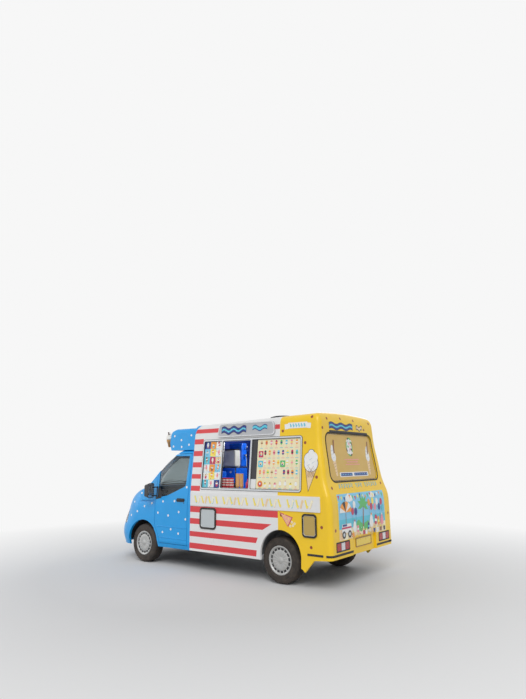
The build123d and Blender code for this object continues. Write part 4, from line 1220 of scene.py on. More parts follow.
for low, high in ((-0.47, -0.08), (-0.02, 0.46)):
    board.append(("navy", roundedBox(low, high, 1.64, 1.688, 0.015, 3), 2))
    for k in range(7):
        u = low + (high - low) * (k + 0.5) / 7
        board.append(cutOut("sky", roundedBox(-0.012, 0.012, -0.01, 0.01, 0.006, 2), u, 1.664, 1.0, 0.3,
                            layer=3))
for centre, lean in ((-0.6, 0.05), (0.6, -0.1)):
    board.append(cutOut("sand", [(-0.052, 0.0), (-0.024, -0.26), (0.024, -0.26), (0.052, 0.0)], centre,
                        1.905, 1.0, lean))
    for k in range(5):
        board.append(cutOut("brown", plainBox(-0.045 + 0.003 * k, 0.045 - 0.003 * k, -0.004, 0.0), centre,
                            1.885 - 0.045 * k, 1.0, lean + 0.25, layer=2))
    for dv, radius in ((0.04, 0.072), (0.1, 0.064), (0.155, 0.05), (0.2, 0.032)):
        board.append(disc("white", centre - dv * lean, 1.905 + dv, radius, 14, 2))
    for dv in (0.03, 0.09, 0.145):
        board.append(cutOut("cloud", roundedBox(-0.045, 0.03, -0.005, 0.005, 0.004, 2), centre - dv * lean,
                            1.905 + dv, 1.0, 0.3, layer=3))
    board.append(cutOut("brown", roundedBox(-0.02, 0.02, -0.11, 0.11, 0.008, 2), centre + 0.045, 2.11, 1.0,
                        -0.12, layer=4))
artSheet("rear_window_board", tailGlass, rearSheet, board, rings=3)

# Rear panel: a generic seaside picture
poster = {"left": -0.8, "right": 0.82, "low": 0.7, "high": 1.375}


def posterShapes():
    random.seed(3)
    left, right, low, high = -poster["right"], -poster["left"], poster["low"], poster["high"]
    shapes = []
    steps = 12
    rows = [low + 0.3, 1.08, 1.15, 1.21, 1.25, 1.28, 1.305, 1.33, 1.352, high]
    for i in range(steps):  # sky, sea and sand, in strips that bend with the panel
        a, b = left + (right - left) * i / steps, left + (right - left) * (i + 1) / steps
        shapes += [("sky", plainBox(a, b, v0, v1), 0) for v0, v1 in zip(rows, rows[1:])]
        shapes.append(("cream" if i % 2 else "sand", plainBox(a, b, low, low + 0.16), 0))
        shapes.append(("aqua", plainBox(a, b, low + 0.16, low + 0.3), 0))
    for u, v, r in ((-0.52, 1.3, 0.05), (-0.45, 1.31, 0.065), (-0.38, 1.3, 0.045), (0.3, 1.315, 0.04),
                    (0.36, 1.32, 0.05), (0.42, 1.31, 0.038)):
        shapes.append(disc("white", u, v, r, 14, 1))
    for i in range(18):  # bunting
        u = left + 0.04 + i * 0.089
        tint = ["berry", "lemon", "navy", "white", "orange", "leaf"][i % 6]
        drop = 0.03 * sin(i * 0.8) ** 2
        shapes.append((tint,
                       [(u - 0.028, high - 0.02 - drop), (u, high - 0.085 - drop),
                        (u + 0.028, high - 0.02 - drop)], 2))
    # parasol with orange, white and black panels on the left
    for k in range(6):
        a0, a1 = pi * k / 6, pi * (k + 1) / 6
        c = (-0.6, 1.1)
        shapes.append((["orange", "white", "orange", "ink", "orange", "white"][k],
                       [c, (c[0] + 0.19 * cos(a0), c[1] + 0.16 * sin(a0)),
                        (c[0] + 0.19 * cos((a0 + a1) / 2), c[1] + 0.165 * sin((a0 + a1) / 2)),
                        (c[0] + 0.19 * cos(a1), c[1] + 0.16 * sin(a1))], 3))
    shapes.append(("brown", roundedBox(-0.607, -0.593, 0.86, 1.1, 0.004, 2), 2))
    # palm in the middle
    shapes.append(("brown", [(-0.055, 0.84), (-0.015, 0.84), (0.005, 1.16), (-0.02, 1.16)], 2))
    for k in range(7):
        angle = radians(-20 + k * 36)
        shapes.append(cutOut("leaf",
                             [(0.0, -0.016), (0.1, -0.036), (0.19, -0.01), (0.1, 0.026), (0.0, 0.016)],
                             -0.01, 1.17, 1.0, angle, layer=3))
    for u, v, r in ((-0.19, 0.87, 0.085), (-0.11, 0.84, 0.07), (0.06, 0.83, 0.075), (0.13, 0.86, 0.06)):
        shapes.append(disc("leaf", u, v, r, 14, 2))
    # balloons
    for u, v, tint in ((0.2, 1.2, "orange"), (0.28, 1.13, "berry"), (0.34, 1.22, "lemon"),
                       (0.42, 1.12, "pink"), (0.5, 1.2, "white"), (0.58, 1.11, "navy"),
                       (0.66, 1.19, "berry"), (0.72, 1.08, "aqua"), (-0.32, 1.2, "white"),
                       (-0.38, 1.1, "berry"), (-0.27, 1.09, "navy")):
        shapes.append(cutOut(tint, [(0.046 * cos(a * 0.5236), 0.058 * sin(a * 0.5236)) for a in range(12)],
                             u, v, 1.0, layer=4))
        shapes.append(("ink", plainBox(u - 0.0015, u + 0.0015, v - 0.16, v - 0.055), 3))
    # a cart with dark wheels on the lower left, and cones, lollies and buckets along the sand
    shapes.append(("white", roundedBox(-0.74, -0.44, 0.8, 0.93, 0.02, 3), 4))
    shapes.append(("berry", roundedBox(-0.74, -0.44, 0.86, 0.885, 0.005, 2), 5))
    shapes.append(("navy", roundedBox(-0.72, -0.58, 0.895, 0.925, 0.008, 2), 5))
    for u in (-0.68, -0.5):
        shapes.append(disc("ink", u, 0.775, 0.055, 16, 5))
        shapes.append(disc("cloud", u, 0.775, 0.028, 12, 6))
    for u, v, size, ice, top in ((-0.33, 0.83, 0.3, "white", "berry"),
                                 (0.26, 0.86, 0.36, "white", "orange"), (0.66, 0.86, 0.3, "pink", "white")):
        shapes += raised(coneShapes(u, v, size, ice, top), 4)
    for u, v, size, body, band in ((0.42, 0.86, 0.26, "berry", "white"),
                                   (0.53, 0.84, 0.24, "orange", "lemon"), (0.15, 0.8, 0.18, "navy", "aqua"),
                                   (-0.22, 0.79, 0.18, "pink", "white")):
        shapes += raised(lolly(u, v, size, body, band, random.uniform(-0.3, 0.3)), 4)
    for u, tint in ((-0.02, "berry"), (0.06, "white"), (0.36, "navy"), (0.6, "brown"), (0.74, "ink"),
                    (-0.38, "orange"), (0.48, "white")):
        shapes.append(cutOut(tint, [(-0.028, -0.03), (0.028, -0.03), (0.038, 0.035), (-0.038, 0.035)], u,
                             0.745, 1.0, layer=5))
        shapes.append(disc("lemon", u, 0.785, 0.022, 10, 4))
    for shell in range(60):
        u, v = random.uniform(left + 0.03, right - 0.03), random.uniform(low + 0.02, low + 0.15)
        shapes.append(disc(random.choice(["brown", "white", "berry", "leaf", "ink", "orange"]), u, v, 0.008,
                           6, 3))
    return shapes


artSheet("rear_picture", tail, rearSheet, posterShapes(), stand=0.0003)
rearWords = []
for k in range(17):  # aqua strokes under the window
    u = -0.64 + k * 0.08
    if k in (6, 10):
        continue
    lean = 0.3 if k % 2 else -0.3
    rearWords.append(cutOut("ink", stroke, u + 0.003, 1.492, 0.086, lean, layer=0))
    rearWords.append(cutOut("aqua", stroke, u, 1.495, 0.078, lean))
    rearWords.append(disc("sky", u + 0.034, 1.48 + 0.03 * (k % 2), 0.01, 8, 1))
for colour, thick, layer in (("ink", 0.108, 0), ("navy", 0.09, 1)):
    rearWords += ribbonShapes(colour, -0.66, 0.14, 2.447, thick, 0.016, 2.5, layer)
rearWords += ribbonShapes("aqua", -0.65, 0.13, 2.447, 0.028, 0.016, 2.5, 2)
rearWords += ribbonShapes("ink", 0.27, 0.5, 2.445, 0.078, 0.016, 1.5, 0)
rearWords += ribbonShapes("sand", 0.28, 0.49, 2.445, 0.05, 0.016, 1.5, 1)
artSheet("rear_waves", tail, rearSheet, rearWords, stand=0.0008)

# Bumper strips, lamps and plate
bandLow = 0.505  # height of the strips
ribs = 9  # ribs in each lamp lens
for word, sign in (("left", 1), ("right", -1)):
    sidePath = [(sideU(sign, 3.875 + k * 0.055), bandLow) for k in range(6)]
    sideSkin = skin("coach_rear", f"coach_side_{word}")
    sheet = leftSheet if sign > 0 else rightSheet
    beadPiece(f"bumper_strip_side_{word}", sideSkin, sheet, sidePath, 0.032, 0.007, blackPlastic)
    inner = 0.406 if sign > 0 else 0.428
    tailPath = denser([(-sign * 0.985, bandLow), (-sign * inner, bandLow)], 0.06)
    beadPiece(f"bumper_strip_tail_{word}", tail, rearSheet, tailPath, 0.032, 0.006, blackPlastic)
    corner = []
    for k in range(9):
        angle = radians(90 * k / 8)
        start = Vector((sign * (0.905 + 0.4 * cos(angle)), tailY - 0.16 + 0.4 * sin(angle), bandLow))
        place, normal = dropOn(tail, start, -Vector((sign * cos(angle), sin(angle), 0)))
        if place is not None:
            corner.append((place, normal))
    section = [(-0.016, -0.004), (-0.016, 0.003), (-0.01, 0.006), (0.01, 0.006), (0.016, 0.003),
               (0.016, -0.004)]
    vertices, faces = [], []
    for place, normal in corner:
        vertices += [place + Vector((0, 0, 1)) * up + normal * out for up, out in section]
    for i in range(len(corner) - 1):
        for k in range(6):
            m = (k + 1) % 6
            faces.append([i * 6 + k, (i + 1) * 6 + k, (i + 1) * 6 + m, i * 6 + m])
    addPiece(f"bumper_strip_corner_{word}", (vertices, faces), blackPlastic)

    lampLow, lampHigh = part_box(f"tail_lamp_{word}")
    u0, u1 = sorted((-lampLow.x, -lampHigh.x))
    v0, v1 = lampLow.z, lampHigh.z
    lampStand = lampHigh.y - tailY - 0.004
    lampBody = prismMesh(rearSheet, roundedBox(u0, u1, v0, v1, 0.012, 4), lampLow.y - tailY, lampStand)
    lampPiece = addPiece(f"tail_lamp_body_{word}", lampBody, blackPlastic, bevel=0.0015)
    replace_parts(lampPiece, f"tail_lamp_{word}")
    lampSkin = meshTree(lampBody)
    bezel = denser(roundedBox(u0 + 0.006, u1 - 0.006, v0 + 0.006, v1 - 0.006, 0.012, 4), 0.05, True)
    beadPiece(f"lamp_bezel_{word}", lampSkin, rearSheet, bezel, 0.01, 0.0035, blackPlastic, closed=True)
    segments = [("red", u0 + 0.02, u0 + 0.145), ("clear", u0 + 0.152, u1 - 0.152),
                ("red", u1 - 0.145, u1 - 0.02)]
    for place, (kind, a, b) in enumerate(segments):
        finish = lampRed if kind == "red" else lampClear
        lenses = []
        for k in range(ribs):
            middle = a + (b - a) * (k + 0.5) / ribs
            made = beadMesh(lampSkin, rearSheet, denser([(middle, v0 + 0.02), (middle, v1 - 0.02)], 0.03),
                            (b - a) / ribs * 0.92, 0.0022, False, 0.001)
            if made:
                lenses.append(made)
        addPiece(f"lamp_lens_{word}_{place}", lenses, finish)

plate = {"half": 0.258, "low": 0.556, "high": 0.668}
plateY = max(onSkin(tail, rearSheet, u, v)[0].y for u in (-0.24, 0.24) for v in (0.566, 0.658))
plateSheet = Flat((0, plateY, 0), (-1, 0, 0), (0, 0, 1))
outer = roundedBox(-plate["half"] - 0.012, plate["half"] + 0.012, plate["low"] - 0.01, plate["high"] + 0.01,
                   0.012, 4)
inner = roundedBox(-plate["half"], plate["half"], plate["low"], plate["high"], 0.006, 4)
addPiece("plate_surround", ringMesh(plateSheet, outer, inner, 0.0004, 0.009), sticker["brown"],
         bevel=0.001)
addPiece("plate_face", prismMesh(plateSheet, inner, 0.0005, 0.004), plateYellow,
         bevel=0.0008)
bolts = [turnedMesh((x, plateY + 0.0038, 0.612), (0, 1, 0),
                    [(0.0, 0.0001), (0.0, 0.007), (0.002, 0.006), (0.003, 0.0001)], 12)
         for x in (-0.19, 0.19)]
addPiece("plate_bolts", bolts, plateYellow)
print("rear dressed")

# Wheels: a trim with sixteen slots over each cover, and tyres with a cut tread
wheelTrim = {
    "slots": 16, "columns": 4,
    "profile": [(0.219, 0.1075), (0.213, 0.1122), (0.206, 0.1122), (0.201, 0.107), (0.196, 0.1035),
                (0.193, 0.1022), (0.156, 0.1005), (0.152, 0.1012), (0.148, 0.1032), (0.143, 0.1034),
                (0.105, 0.1008), (0.062, 0.1004), (0.052, 0.1012), (0.048, 0.105), (0.03, 0.1066),
                (0.008, 0.107)],
    "ribLow": 0.06, "ribHigh": 0.145, "ribHeight": 0.0038,
}
tyreForm = {
    "steps": 128, "radius": 0.355, "blockDepth": 0.0055,
    "side": [(0.0905, 0.2095), (0.1045, 0.22), (0.1105, 0.24), (0.1125, 0.262), (0.1118, 0.27),
             (0.1126, 0.272), (0.1118, 0.274), (0.1105, 0.3), (0.1112, 0.303), (0.1095, 0.306),
             (0.1065, 0.318), (0.102, 0.33), (0.096, 0.3405), (0.086, 0.3478)],
    "tread": [(0.07, 0.352), (0.061, 0.3532), (0.059, 0.3465), (0.05, 0.3465), (0.048, 0.3542),
              (0.025, 0.3548), (0.023, 0.348), (0.014, 0.348), (0.012, 0.355)],
}


def wheelTrimPiece(node, body, side):
    low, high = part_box(node)
    centre = Vector((side * 0.866, (low.y + high.y) / 2, (low.z + high.z) / 2))
    trim = wheelTrim
    total = trim["slots"] * trim["columns"]
    vertices, faces = [], []
    for radius, stand in trim["profile"]:
        for k in range(total):
            angle = 2 * pi * k / total
            rib = trim["ribHeight"] if k % 4 in (3,
                                                 0) and trim["ribLow"] < radius < trim["ribHigh"] else 0.0
            vertices.append(centre
                            + Vector((side * (stand + rib), radius * cos(angle), radius * sin(angle))))
    rings = len(trim["profile"])
    for ring in range(rings - 1):
        slotted = ring == 5
        for k in range(total):
            if slotted and k % 4 in (0, 1, 2):
                continue
            m = (k + 1) % total
            faces.append([ring * total + k, ring * total + m, (ring + 1) * total + m,
                          (ring + 1) * total + k])
    faces.append([(rings - 1) * total + k for k in range(total)])
    piece = addPiece(node + "_trim", (vertices, faces), wheelSilver, body=body, smooth=True)
    thick = piece.modifiers.new("sheet", "SOLIDIFY")
    thick.thickness = 0.0022
    thick.offset = -1.0
    piece.data.set_sharp_from_angle(angle=radians(50))
    # a black ring behind the trim's slots: painted shade where the wheel behind them lies in shadow
    slot_shade = [(0.0973, 0.15), (0.0976, 0.153), (0.0976, 0.195), (0.0973, 0.198)]
    addPiece(node + "_liner", turnedMesh(centre, (side, 0, 0), slot_shade, 48), blackPlastic,
             body=body, smooth=True)
    cap = [(0.104, 0.03), (0.1085, 0.029), (0.11, 0.024), (0.1105, 0.012), (0.1106, 0.0004)]
    addPiece(node + "_cap", turnedMesh(centre, (side, 0, 0), cap, 32), wheelSilver,
             body=body, smooth=True)
    valve = tubeMesh([centre + Vector((side * 0.1, 0.19, 0.04)),
                      centre + Vector((side * 0.108, 0.183, 0.038))], 0.0035, 8)
    addPiece(node + "_valve", valve, blackRubber, body=body, smooth=True)


def tyrePiece(node, body, side):
    low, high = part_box(node)
    centre = Vector((side * 0.866, (low.y + high.y) / 2, (low.z + high.z) / 2))
    form = tyreForm
    half = form["side"] + form["tread"]
    profile = [(-a, r) for a, r in half] + [(0.0, form["radius"])] + [(a, r) for a, r in reversed(half)]
    steps = form["steps"]
    vertices, faces = [], []
    for k in range(steps):
        angle = 2 * pi * k / steps
        for along, radius in profile:
            if abs(along) > 0.06 and radius > 0.338 and k % 4 == (0 if along > 0 else 2):
                radius -= form["blockDepth"]
            if abs(along) < 0.0495 and radius > 0.35 and k % 8 == 4:
                radius -= 0.0035
            vertices.append(centre + Vector((side * along, radius * cos(angle), radius * sin(angle))))
    count = len(profile)
    for k in range(steps):
        m = (k + 1) % steps
        for i in range(count - 1):
            faces.append([k * count + i, m * count + i, m * count + i + 1, k * count + i + 1])
        faces.append([k * count + count - 1, m * count + count - 1, m * count, k * count])
    piece = addPiece(node + "_tread", (vertices, faces), tyreRubber, body=body, smooth=True)
    piece.data.set_sharp_from_angle(angle=radians(38))
    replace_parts(piece, node)


for axle in ("front", "rear"):
    for side, word in ((1, "left"), (-1, "right")):
        wheelTrimPiece(f"wheel_{axle}_{word}", f"{axle}_wheel_{word}", side)
        tyrePiece(f"tyre_{axle}_{word}", f"{axle}_wheel_{word}", side)
print("wheels made")

# Cone ornaments on the front corners of the high top: wafer, soft ice and black brackets
ornament = {"x": 0.8, "d": 0.455, "low": 2.19, "arms": (2.235, 2.3), "armHalf": 0.01}
podSkin = skin("high_top")
for side, word in ((1, "left"), (-1, "right")):
    ornamentX, ornamentY = side * ornament["x"], aft(ornament["d"])
    foot = Vector((ornamentX, ornamentY, ornament["low"]))
    waferForm = [(0.0, 0.0002), (0.0, 0.017), (0.004, 0.021), (0.098, 0.046), (0.102, 0.054), (0.14, 0.06),
                 (0.146, 0.058), (0.146, 0.0002)]
    addPiece(f"cone_ornament_wafer_{word}", turnedMesh(foot, (0, 0, 1), waferForm, 28), wafer,
             smooth=True)
    iceForm = [(0.138, 0.0002), (0.146, 0.056), (0.16, 0.068), (0.185, 0.066), (0.215, 0.052),
               (0.245, 0.036), (0.27, 0.018), (0.285, 0.006), (0.287, 0.0002)]
    addPiece(f"cone_ornament_ice_{word}", turnedMesh(foot, (0, 0, 1), iceForm, 28), softIce,
             smooth=True)
    arms = []
    for level in ornament["arms"]:
        place, normal = dropOn(podSkin, Vector((ornamentX * 0.94, aft(-0.2), level)), Vector((0, 1, 0)))
        end = place.y + 0.004 if place is not None else aft(0.6)
        arms.append(tubeMesh([(ornamentX, ornamentY + 0.03, level), (ornamentX * 0.94, end, level)],
                             ornament["armHalf"], 8))
        arms.append(turnedMesh(Vector((ornamentX * 0.94, end - 0.002, level)), (0, -1, 0),
                               [(0.0, 0.0002), (0.0, 0.024), (0.005, 0.024), (0.006, 0.0002)], 16))
    addPiece(f"cone_ornament_arms_{word}", arms, blackPlastic, smooth=True)
    turns = []
    for k in range(66):
        angle = 2 * pi * k / 22
        share = k / 65
        radius = 0.066 * (1 - share) ** 0.8 + 0.006
        turns.append((ornamentX + radius * cos(angle), ornamentY + radius * sin(angle),
                      2.352 + 0.132 * share))
    addPiece(f"cone_ornament_swirl_{word}", tubeMesh(turns, 0.0105, 8), softIce, smooth=True)
    flakePath = [(ornamentX + side * 0.02, ornamentY + 0.012, 2.4),
                 (ornamentX + side * 0.055, ornamentY + 0.02, 2.486)]
    addPiece(f"cone_ornament_flake_{word}", tubeMesh(flakePath, 0.012, 7), chocolate,
             bevel=0.001)
    lines = []
    for k in range(8):
        for turn in (-1, 1):
            line = []
            for step in range(7):
                share = step / 6
                angle = 2 * pi * k / 8 + turn * share * 1.2
                radius = 0.0215 + 0.0325 * share
                line.append((ornamentX + radius * cos(angle), ornamentY + radius * sin(angle),
                             2.198 + 0.126 * share))
            lines.append(tubeMesh(line, 0.0016, 5))
    addPiece(f"cone_ornament_net_{word}", lines, chocolate, smooth=True)
print("ornaments made")

# Cab doors: window rubber, corner panel, handle, lock and pressed lines
doorTrim = {
    "window": [(0.395, 1.222), (0.674, 1.269), (1.107, 1.431), (1.152, 1.462), (1.185, 2.005),
               (0.767, 2.01), (0.535, 1.868), (0.395, 1.731)],
    "corner": [(0.362, 1.19), (0.52, 1.222), (0.5, 1.33), (0.44, 1.42), (0.362, 1.44)],
    "handle": (0.952, 1.158, 1.198), "lines": [(0.705, 0.43, 1.228), (0.507, 0.5, 1.228)],
}
for side, word, sheet in sides:
    body = f"door_{word}"
    doorSkin = skin(f"door_{word}")
    glassSkin = skin(f"door_{word}", f"door_glass_{word}")
    outline = [(sideU(side, distance), height) for distance, height in doorTrim["window"]]
    if side < 0:
        outline = outline[::-1]
    middle = (sum(p[0] for p in outline) / 8, sum(p[1] for p in outline) / 8)
    rubberPath = [(middle[0] + (u - middle[0]) * 1.012, middle[1] + (v - middle[1]) * 1.012)
                  for u, v in roundedOutline(outline, 0.03, 5)]
    beadPiece(f"door_window_rubber_{word}", glassSkin, sheet, denser(rubberPath, 0.08, True), 0.02, 0.004,
              blackRubber, body=body, closed=True)
    panel = [(sideU(side, distance), height) for distance, height in doorTrim["corner"]]
    if side < 0:
        panel = panel[::-1]
    artSheet(f"door_corner_panel_{word}", glassSkin, sheet, [(blackPlastic, panel, 0)],
             body=body, stand=0.0035)
    start, end, height = doorTrim["handle"]
    cup = roundedBox(*spanU(side, start - 0.012, end + 0.006), height - 0.034, height + 0.03, 0.028, 5)
    artSheet(f"door_handle_cup_{word}", doorSkin, sheet, [(blackPlastic, cup, 0)], body=body)
    grip = []
    for k in range(13):
        share = k / 12
        place, normal = onSkin(doorSkin, sheet, sideU(side, start + (end - start) * share), height)
        grip.append(place + normal * (0.006 + 0.026 * sin(pi * min(1, max(0, share))) ** 0.35))
    addPiece(f"door_handle_{word}", tubeMesh(grip, 0.0115, 10), blackPlastic, body=body,
             smooth=True)
    place, normal = onSkin(doorSkin, sheet, sideU(side, end - 0.01), height - 0.05)
    barrel = [(-0.002, 0.011), (0.004, 0.0105), (0.0055, 0.008), (0.004, 0.003), (0.004, 0.0002)]
    addPiece(f"door_lock_{word}", turnedMesh(place, normal, barrel, 20), darkSteel, body=body,
             smooth=True)
    pressed = []
    for level, first, last in doorTrim["lines"]:
        path = denser([(sideU(side, first), level), (sideU(side, last), level)], 0.06)
        made = beadMesh(doorSkin, sheet, path, 0.02, 0.0045)
        if made:
            pressed.append(made)
    addPiece(f"door_pressed_lines_{word}", pressed, skyBlue, body=body, smooth=True)
    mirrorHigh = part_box(f"mirror_{word}")[1]
    mirrorFlat = Flat((0, mirrorHigh.y - 0.0185, 0), (-1, 0, 0), (0, 0, 1))
    u0, u1 = sorted((-side * 1.102, -side * 1.228))
    addPiece(f"mirror_glass_{word}",
             prismMesh(mirrorFlat, roundedBox(u0, u1, 1.3, 1.486, 0.024, 5), 0.0004, 0.003), signSilver,
             body=body, bevel=0.0008)
    addPiece(f"mirror_wide_glass_{word}",
             prismMesh(mirrorFlat, roundedBox(u0, u1, 1.234, 1.288, 0.018, 5), 0.0004, 0.003), signSilver,
             body=body, bevel=0.0008)
print("doors trimmed")

# Front: screen band, wipers, lamp bowls, grille bars and intake
screenSkin = skin("windscreen")
screenEdge = roundedOutline([(-0.836, 1.432), (0.836, 1.432), (0.764, 1.998), (-0.764, 1.998)], 0.05, 6)
beadPiece("screen_band", screenSkin, frontSheet,
          denser([(u * 0.965, 1.715 + (v - 1.715) * 0.94) for u, v in screenEdge], 0.07, True), 0.04,
          0.0012, blackPlastic, closed=True, sink=0.0005)
wiperTable = [(0.62, 1.462, 0.08, 1.5), (-0.02, 1.462, -0.56, 1.5)]
wipers = []
for pivotX, pivotZ, tipX, tipZ in wiperTable:
    arm, blade = [], []
    for k in range(7):
        share = k / 6
        place, normal = dropOn(screenSkin,
                               frontSheet.at(pivotX + (tipX - pivotX) * share * 0.55,
                                             pivotZ + (tipZ + 0.03 - pivotZ) * share, 0.9), -frontSheet.n)
        if place is not None:
            arm.append(place + normal * 0.022)
    for k in range(9):
        share = k / 8
        place, normal = dropOn(screenSkin,
                               frontSheet.at(pivotX - 0.02 + (tipX - 0.04 - pivotX) * share,
                                             1.47 + 0.035 * share, 0.9), -frontSheet.n)
        if place is not None:
            blade.append(place + normal * 0.01)
    if len(arm) > 1 and len(blade) > 1:
        wipers += [tubeMesh(arm, 0.006, 8), tubeMesh(blade, 0.0075, 8)]
if wipers:
    addPiece("wipers", wipers, blackPlastic, smooth=True)
for side, word in ((1, "left"), (-1, "right")):
    lens = skin(f"headlamp_{word}")
    shapes = [(cabinPlastic, roundedBox(*sorted((side * 0.47, side * 0.9)), 0.715, 0.912, 0.035, 5), 0)]
    for centre, radius in ((0.56, 0.078), (0.73, 0.07)):
        shapes.append(disc(signSilver, side * centre, 0.812, radius, 24, 1))
        shapes.append(disc(lampClear, side * centre, 0.812, radius * 0.8, 24, 2))
        shapes.append(disc(signSilver, side * centre, 0.812, radius * 0.36, 18, 3))
    shapes.append(disc(lampAmber, side * 0.845, 0.82, 0.038, 18, 1))
    artSheet(f"headlamp_bowls_{word}", lens, frontSheet, shapes)
bumperSkin = skin("front_bumper")
intake = [(blackPlastic, roundedBox(-0.46, 0.46, 0.375, 0.5, 0.04, 5), 0)]
for side in (1, -1):
    intake.append(disc(blackPlastic, side * 0.66, 0.45, 0.062, 22, 0))
    intake.append(disc(lampClear, side * 0.66, 0.45, 0.046, 20, 1))
artSheet("bumper_intake", bumperSkin, frontSheet, intake)
bars = []
for level in (0.405, 0.437, 0.469):
    made = beadMesh(bumperSkin, frontSheet, denser([(-0.43, level), (0.43, level)], 0.05), 0.01, 0.006,
                    False, 0.001)
    if made:
        bars.append(made)
addPiece("bumper_bars", bars, cabinPlastic, smooth=True)
print("front dressed")

# Serving hatch: lining, machine fronts, counter goods
ground = Flat((0, 0, 0), (1, 0, 0), (0, 1, 0))


def boxMesh(x0, x1, a0, a1, z0, z1):
    return prismMesh(ground, plainBox(x0, x1, aft(a0), aft(a1)), z0, z1)


# deep blue lining on the offside wall with shelf rails, and white lockers under it
liningFlat = Flat((-0.9, 0, 0), (0, 1, 0), (0, 0, 1))
panels, rails = [], []
for start, end in ((1.42, 2.16), (2.18, 2.92), (2.94, 3.4)):
    panels.append(prismMesh(liningFlat, roundedBox(aft(start), aft(end), 1.3, 2.2, 0.02, 3), 0.0, 0.012))
addPiece("offside_lining", panels, interiorBlue, bevel=0.002)
for level in (1.6, 1.92):
    rails.append(tubeMesh([(-0.875, aft(1.44), level), (-0.875, aft(3.38), level)], 0.007, 8))
addPiece("offside_rails", rails, barSteel, smooth=True)
lockers = [boxMesh(-0.92, -0.52, 1.5 + k * 0.62, 2.1 + k * 0.62, 0.605, 1.22) for k in range(3)]
addPiece("offside_lockers", lockers, counterWhite, bevel=0.006)
addPiece("offside_worktop", boxMesh(-0.93, -0.49, 1.47, 3.38, 1.222, 1.252), barSteel, bevel=0.004)
knobs = [turnedMesh((-0.518, aft(1.6 + k * 0.62), 1.15), (1, 0, 0),
                    [(0, 0.012), (0.012, 0.01), (0.02, 0.014), (0.026, 0.012), (0.026, 0.0002)], 14)
         for k in range(3)]
addPiece("locker_knobs", knobs, darkSteel, smooth=True)
bulkheadPanel = Flat((0, aft(1.3945), 0), (-1, 0, 0), (0, 0, 1))
addPiece("bulkhead_lining",
         prismMesh(bulkheadPanel, roundedBox(-0.86, -0.3, 1.0, 2.3, 0.03, 4), 0.0, 0.006), interiorBlue,
         bevel=0.002)
ceilingFlat = Flat((0, 0, 2.552), (1, 0, 0), (0, 1, 0))
ribs = [prismMesh(ceilingFlat, roundedBox(-0.62, 0.62, aft(a), aft(a + 0.05), 0.012, 3), 0.0, 0.008)
        for a in (1.55, 2.05, 2.75, 3.25)]
addPiece("ceiling_battens", ribs, interiorBlue, bevel=0.002)

# soft ice machine: blue front panels, steel drip tray, spouts and levers
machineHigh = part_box("soft_serve_machine")[1]
machineFlat = Flat((machineHigh.x, 0, 0), (0, 1, 0), (0, 0, 1))
fronts = [prismMesh(machineFlat, roundedBox(aft(1.445), aft(1.915), 1.5, 1.775, 0.02, 4), 0.0, 0.01),
          prismMesh(machineFlat, roundedBox(aft(1.445), aft(1.915), 0.66, 1.185, 0.02, 4), 0.0, 0.01)]
addPiece("machine_panels", fronts, machineBlue, bevel=0.003)
hopper = boxMesh(0.29, 0.45, 1.45, 1.905, 1.801, 2.105)
addPiece("machine_hopper", hopper, counterWhite, bevel=0.025, segments=3)
addPiece("machine_hopper_lid", boxMesh(0.298, 0.442, 1.46, 1.895, 2.1055, 2.128), blackPlastic,
         bevel=0.008)
backFlat = Flat((0, machineHigh.y, 0), (-1, 0, 0), (0, 0, 1))
addPiece("machine_back_panel",
         prismMesh(backFlat, roundedBox(-0.455, -0.135, 0.66, 1.775, 0.02, 4), 0.0, 0.008), machineBlue,
         bevel=0.003)
addPiece("machine_tower", boxMesh(0.13, 0.28, 1.6, 1.925, 1.801, 2.24), machineBlue,
         bevel=0.015, segments=3)
dispenser = [tubeMesh([(0.205, aft(1.925), 2.02), (0.205, aft(1.965), 2.02), (0.205, aft(1.975), 1.96)],
                      0.013, 10),
             tubeMesh([(0.205, aft(1.925), 2.12), (0.2, aft(1.955), 2.13), (0.19, aft(1.985), 2.19)], 0.007,
                      8)]
addPiece("tower_dispenser", dispenser, barSteel, smooth=True)
ventSlots = [prismMesh(machineFlat,
                       roundedBox(aft(1.5), aft(1.86), 0.74 + k * 0.03, 0.748 + k * 0.03, 0.003, 2), 0.01,
                       0.0125) for k in range(9)]
addPiece("machine_vents", ventSlots, blackPlastic)
spouts, levers, caps = [], [], []
for distance in (1.56, 1.68, 1.8):
    spouts.append(turnedMesh((machineHigh.x + 0.034, aft(distance), 1.4), (0, 0, -1),
                             [(0.0, 0.0002), (0.0, 0.03), (0.03, 0.03), (0.06, 0.02), (0.085, 0.018),
                              (0.088, 0.014), (0.088, 0.0002)], 20))
    levers.append(tubeMesh([(machineHigh.x + 0.03, aft(distance), 1.44),
                            (machineHigh.x + 0.075, aft(distance), 1.455),
                            (machineHigh.x + 0.105, aft(distance), 1.4)], 0.007, 8))
    caps.append(turnedMesh((machineHigh.x + 0.106, aft(distance), 1.402), (0.2, 0, -1),
                           [(0.0, 0.0002), (0.0, 0.012), (0.045, 0.014), (0.058, 0.009), (0.06, 0.0002)],
                           14))
addPiece("machine_spouts", spouts, barSteel, smooth=True)
addPiece("machine_levers", levers, barSteel, smooth=True)
addPiece("machine_knobs", caps, blackPlastic, smooth=True)
dials = [prismMesh(machineFlat, circleOutline(aft(a), 1.7, 0.022, 18), 0.01, 0.016)
         for a in (1.54, 1.68, 1.82)]
addPiece("machine_dials", dials, lampClear, bevel=0.002)
addPiece("machine_tray", boxMesh(machineHigh.x + 0.002, machineHigh.x + 0.118, 1.46, 1.9, 1.205, 1.222),
         barSteel, bevel=0.003)

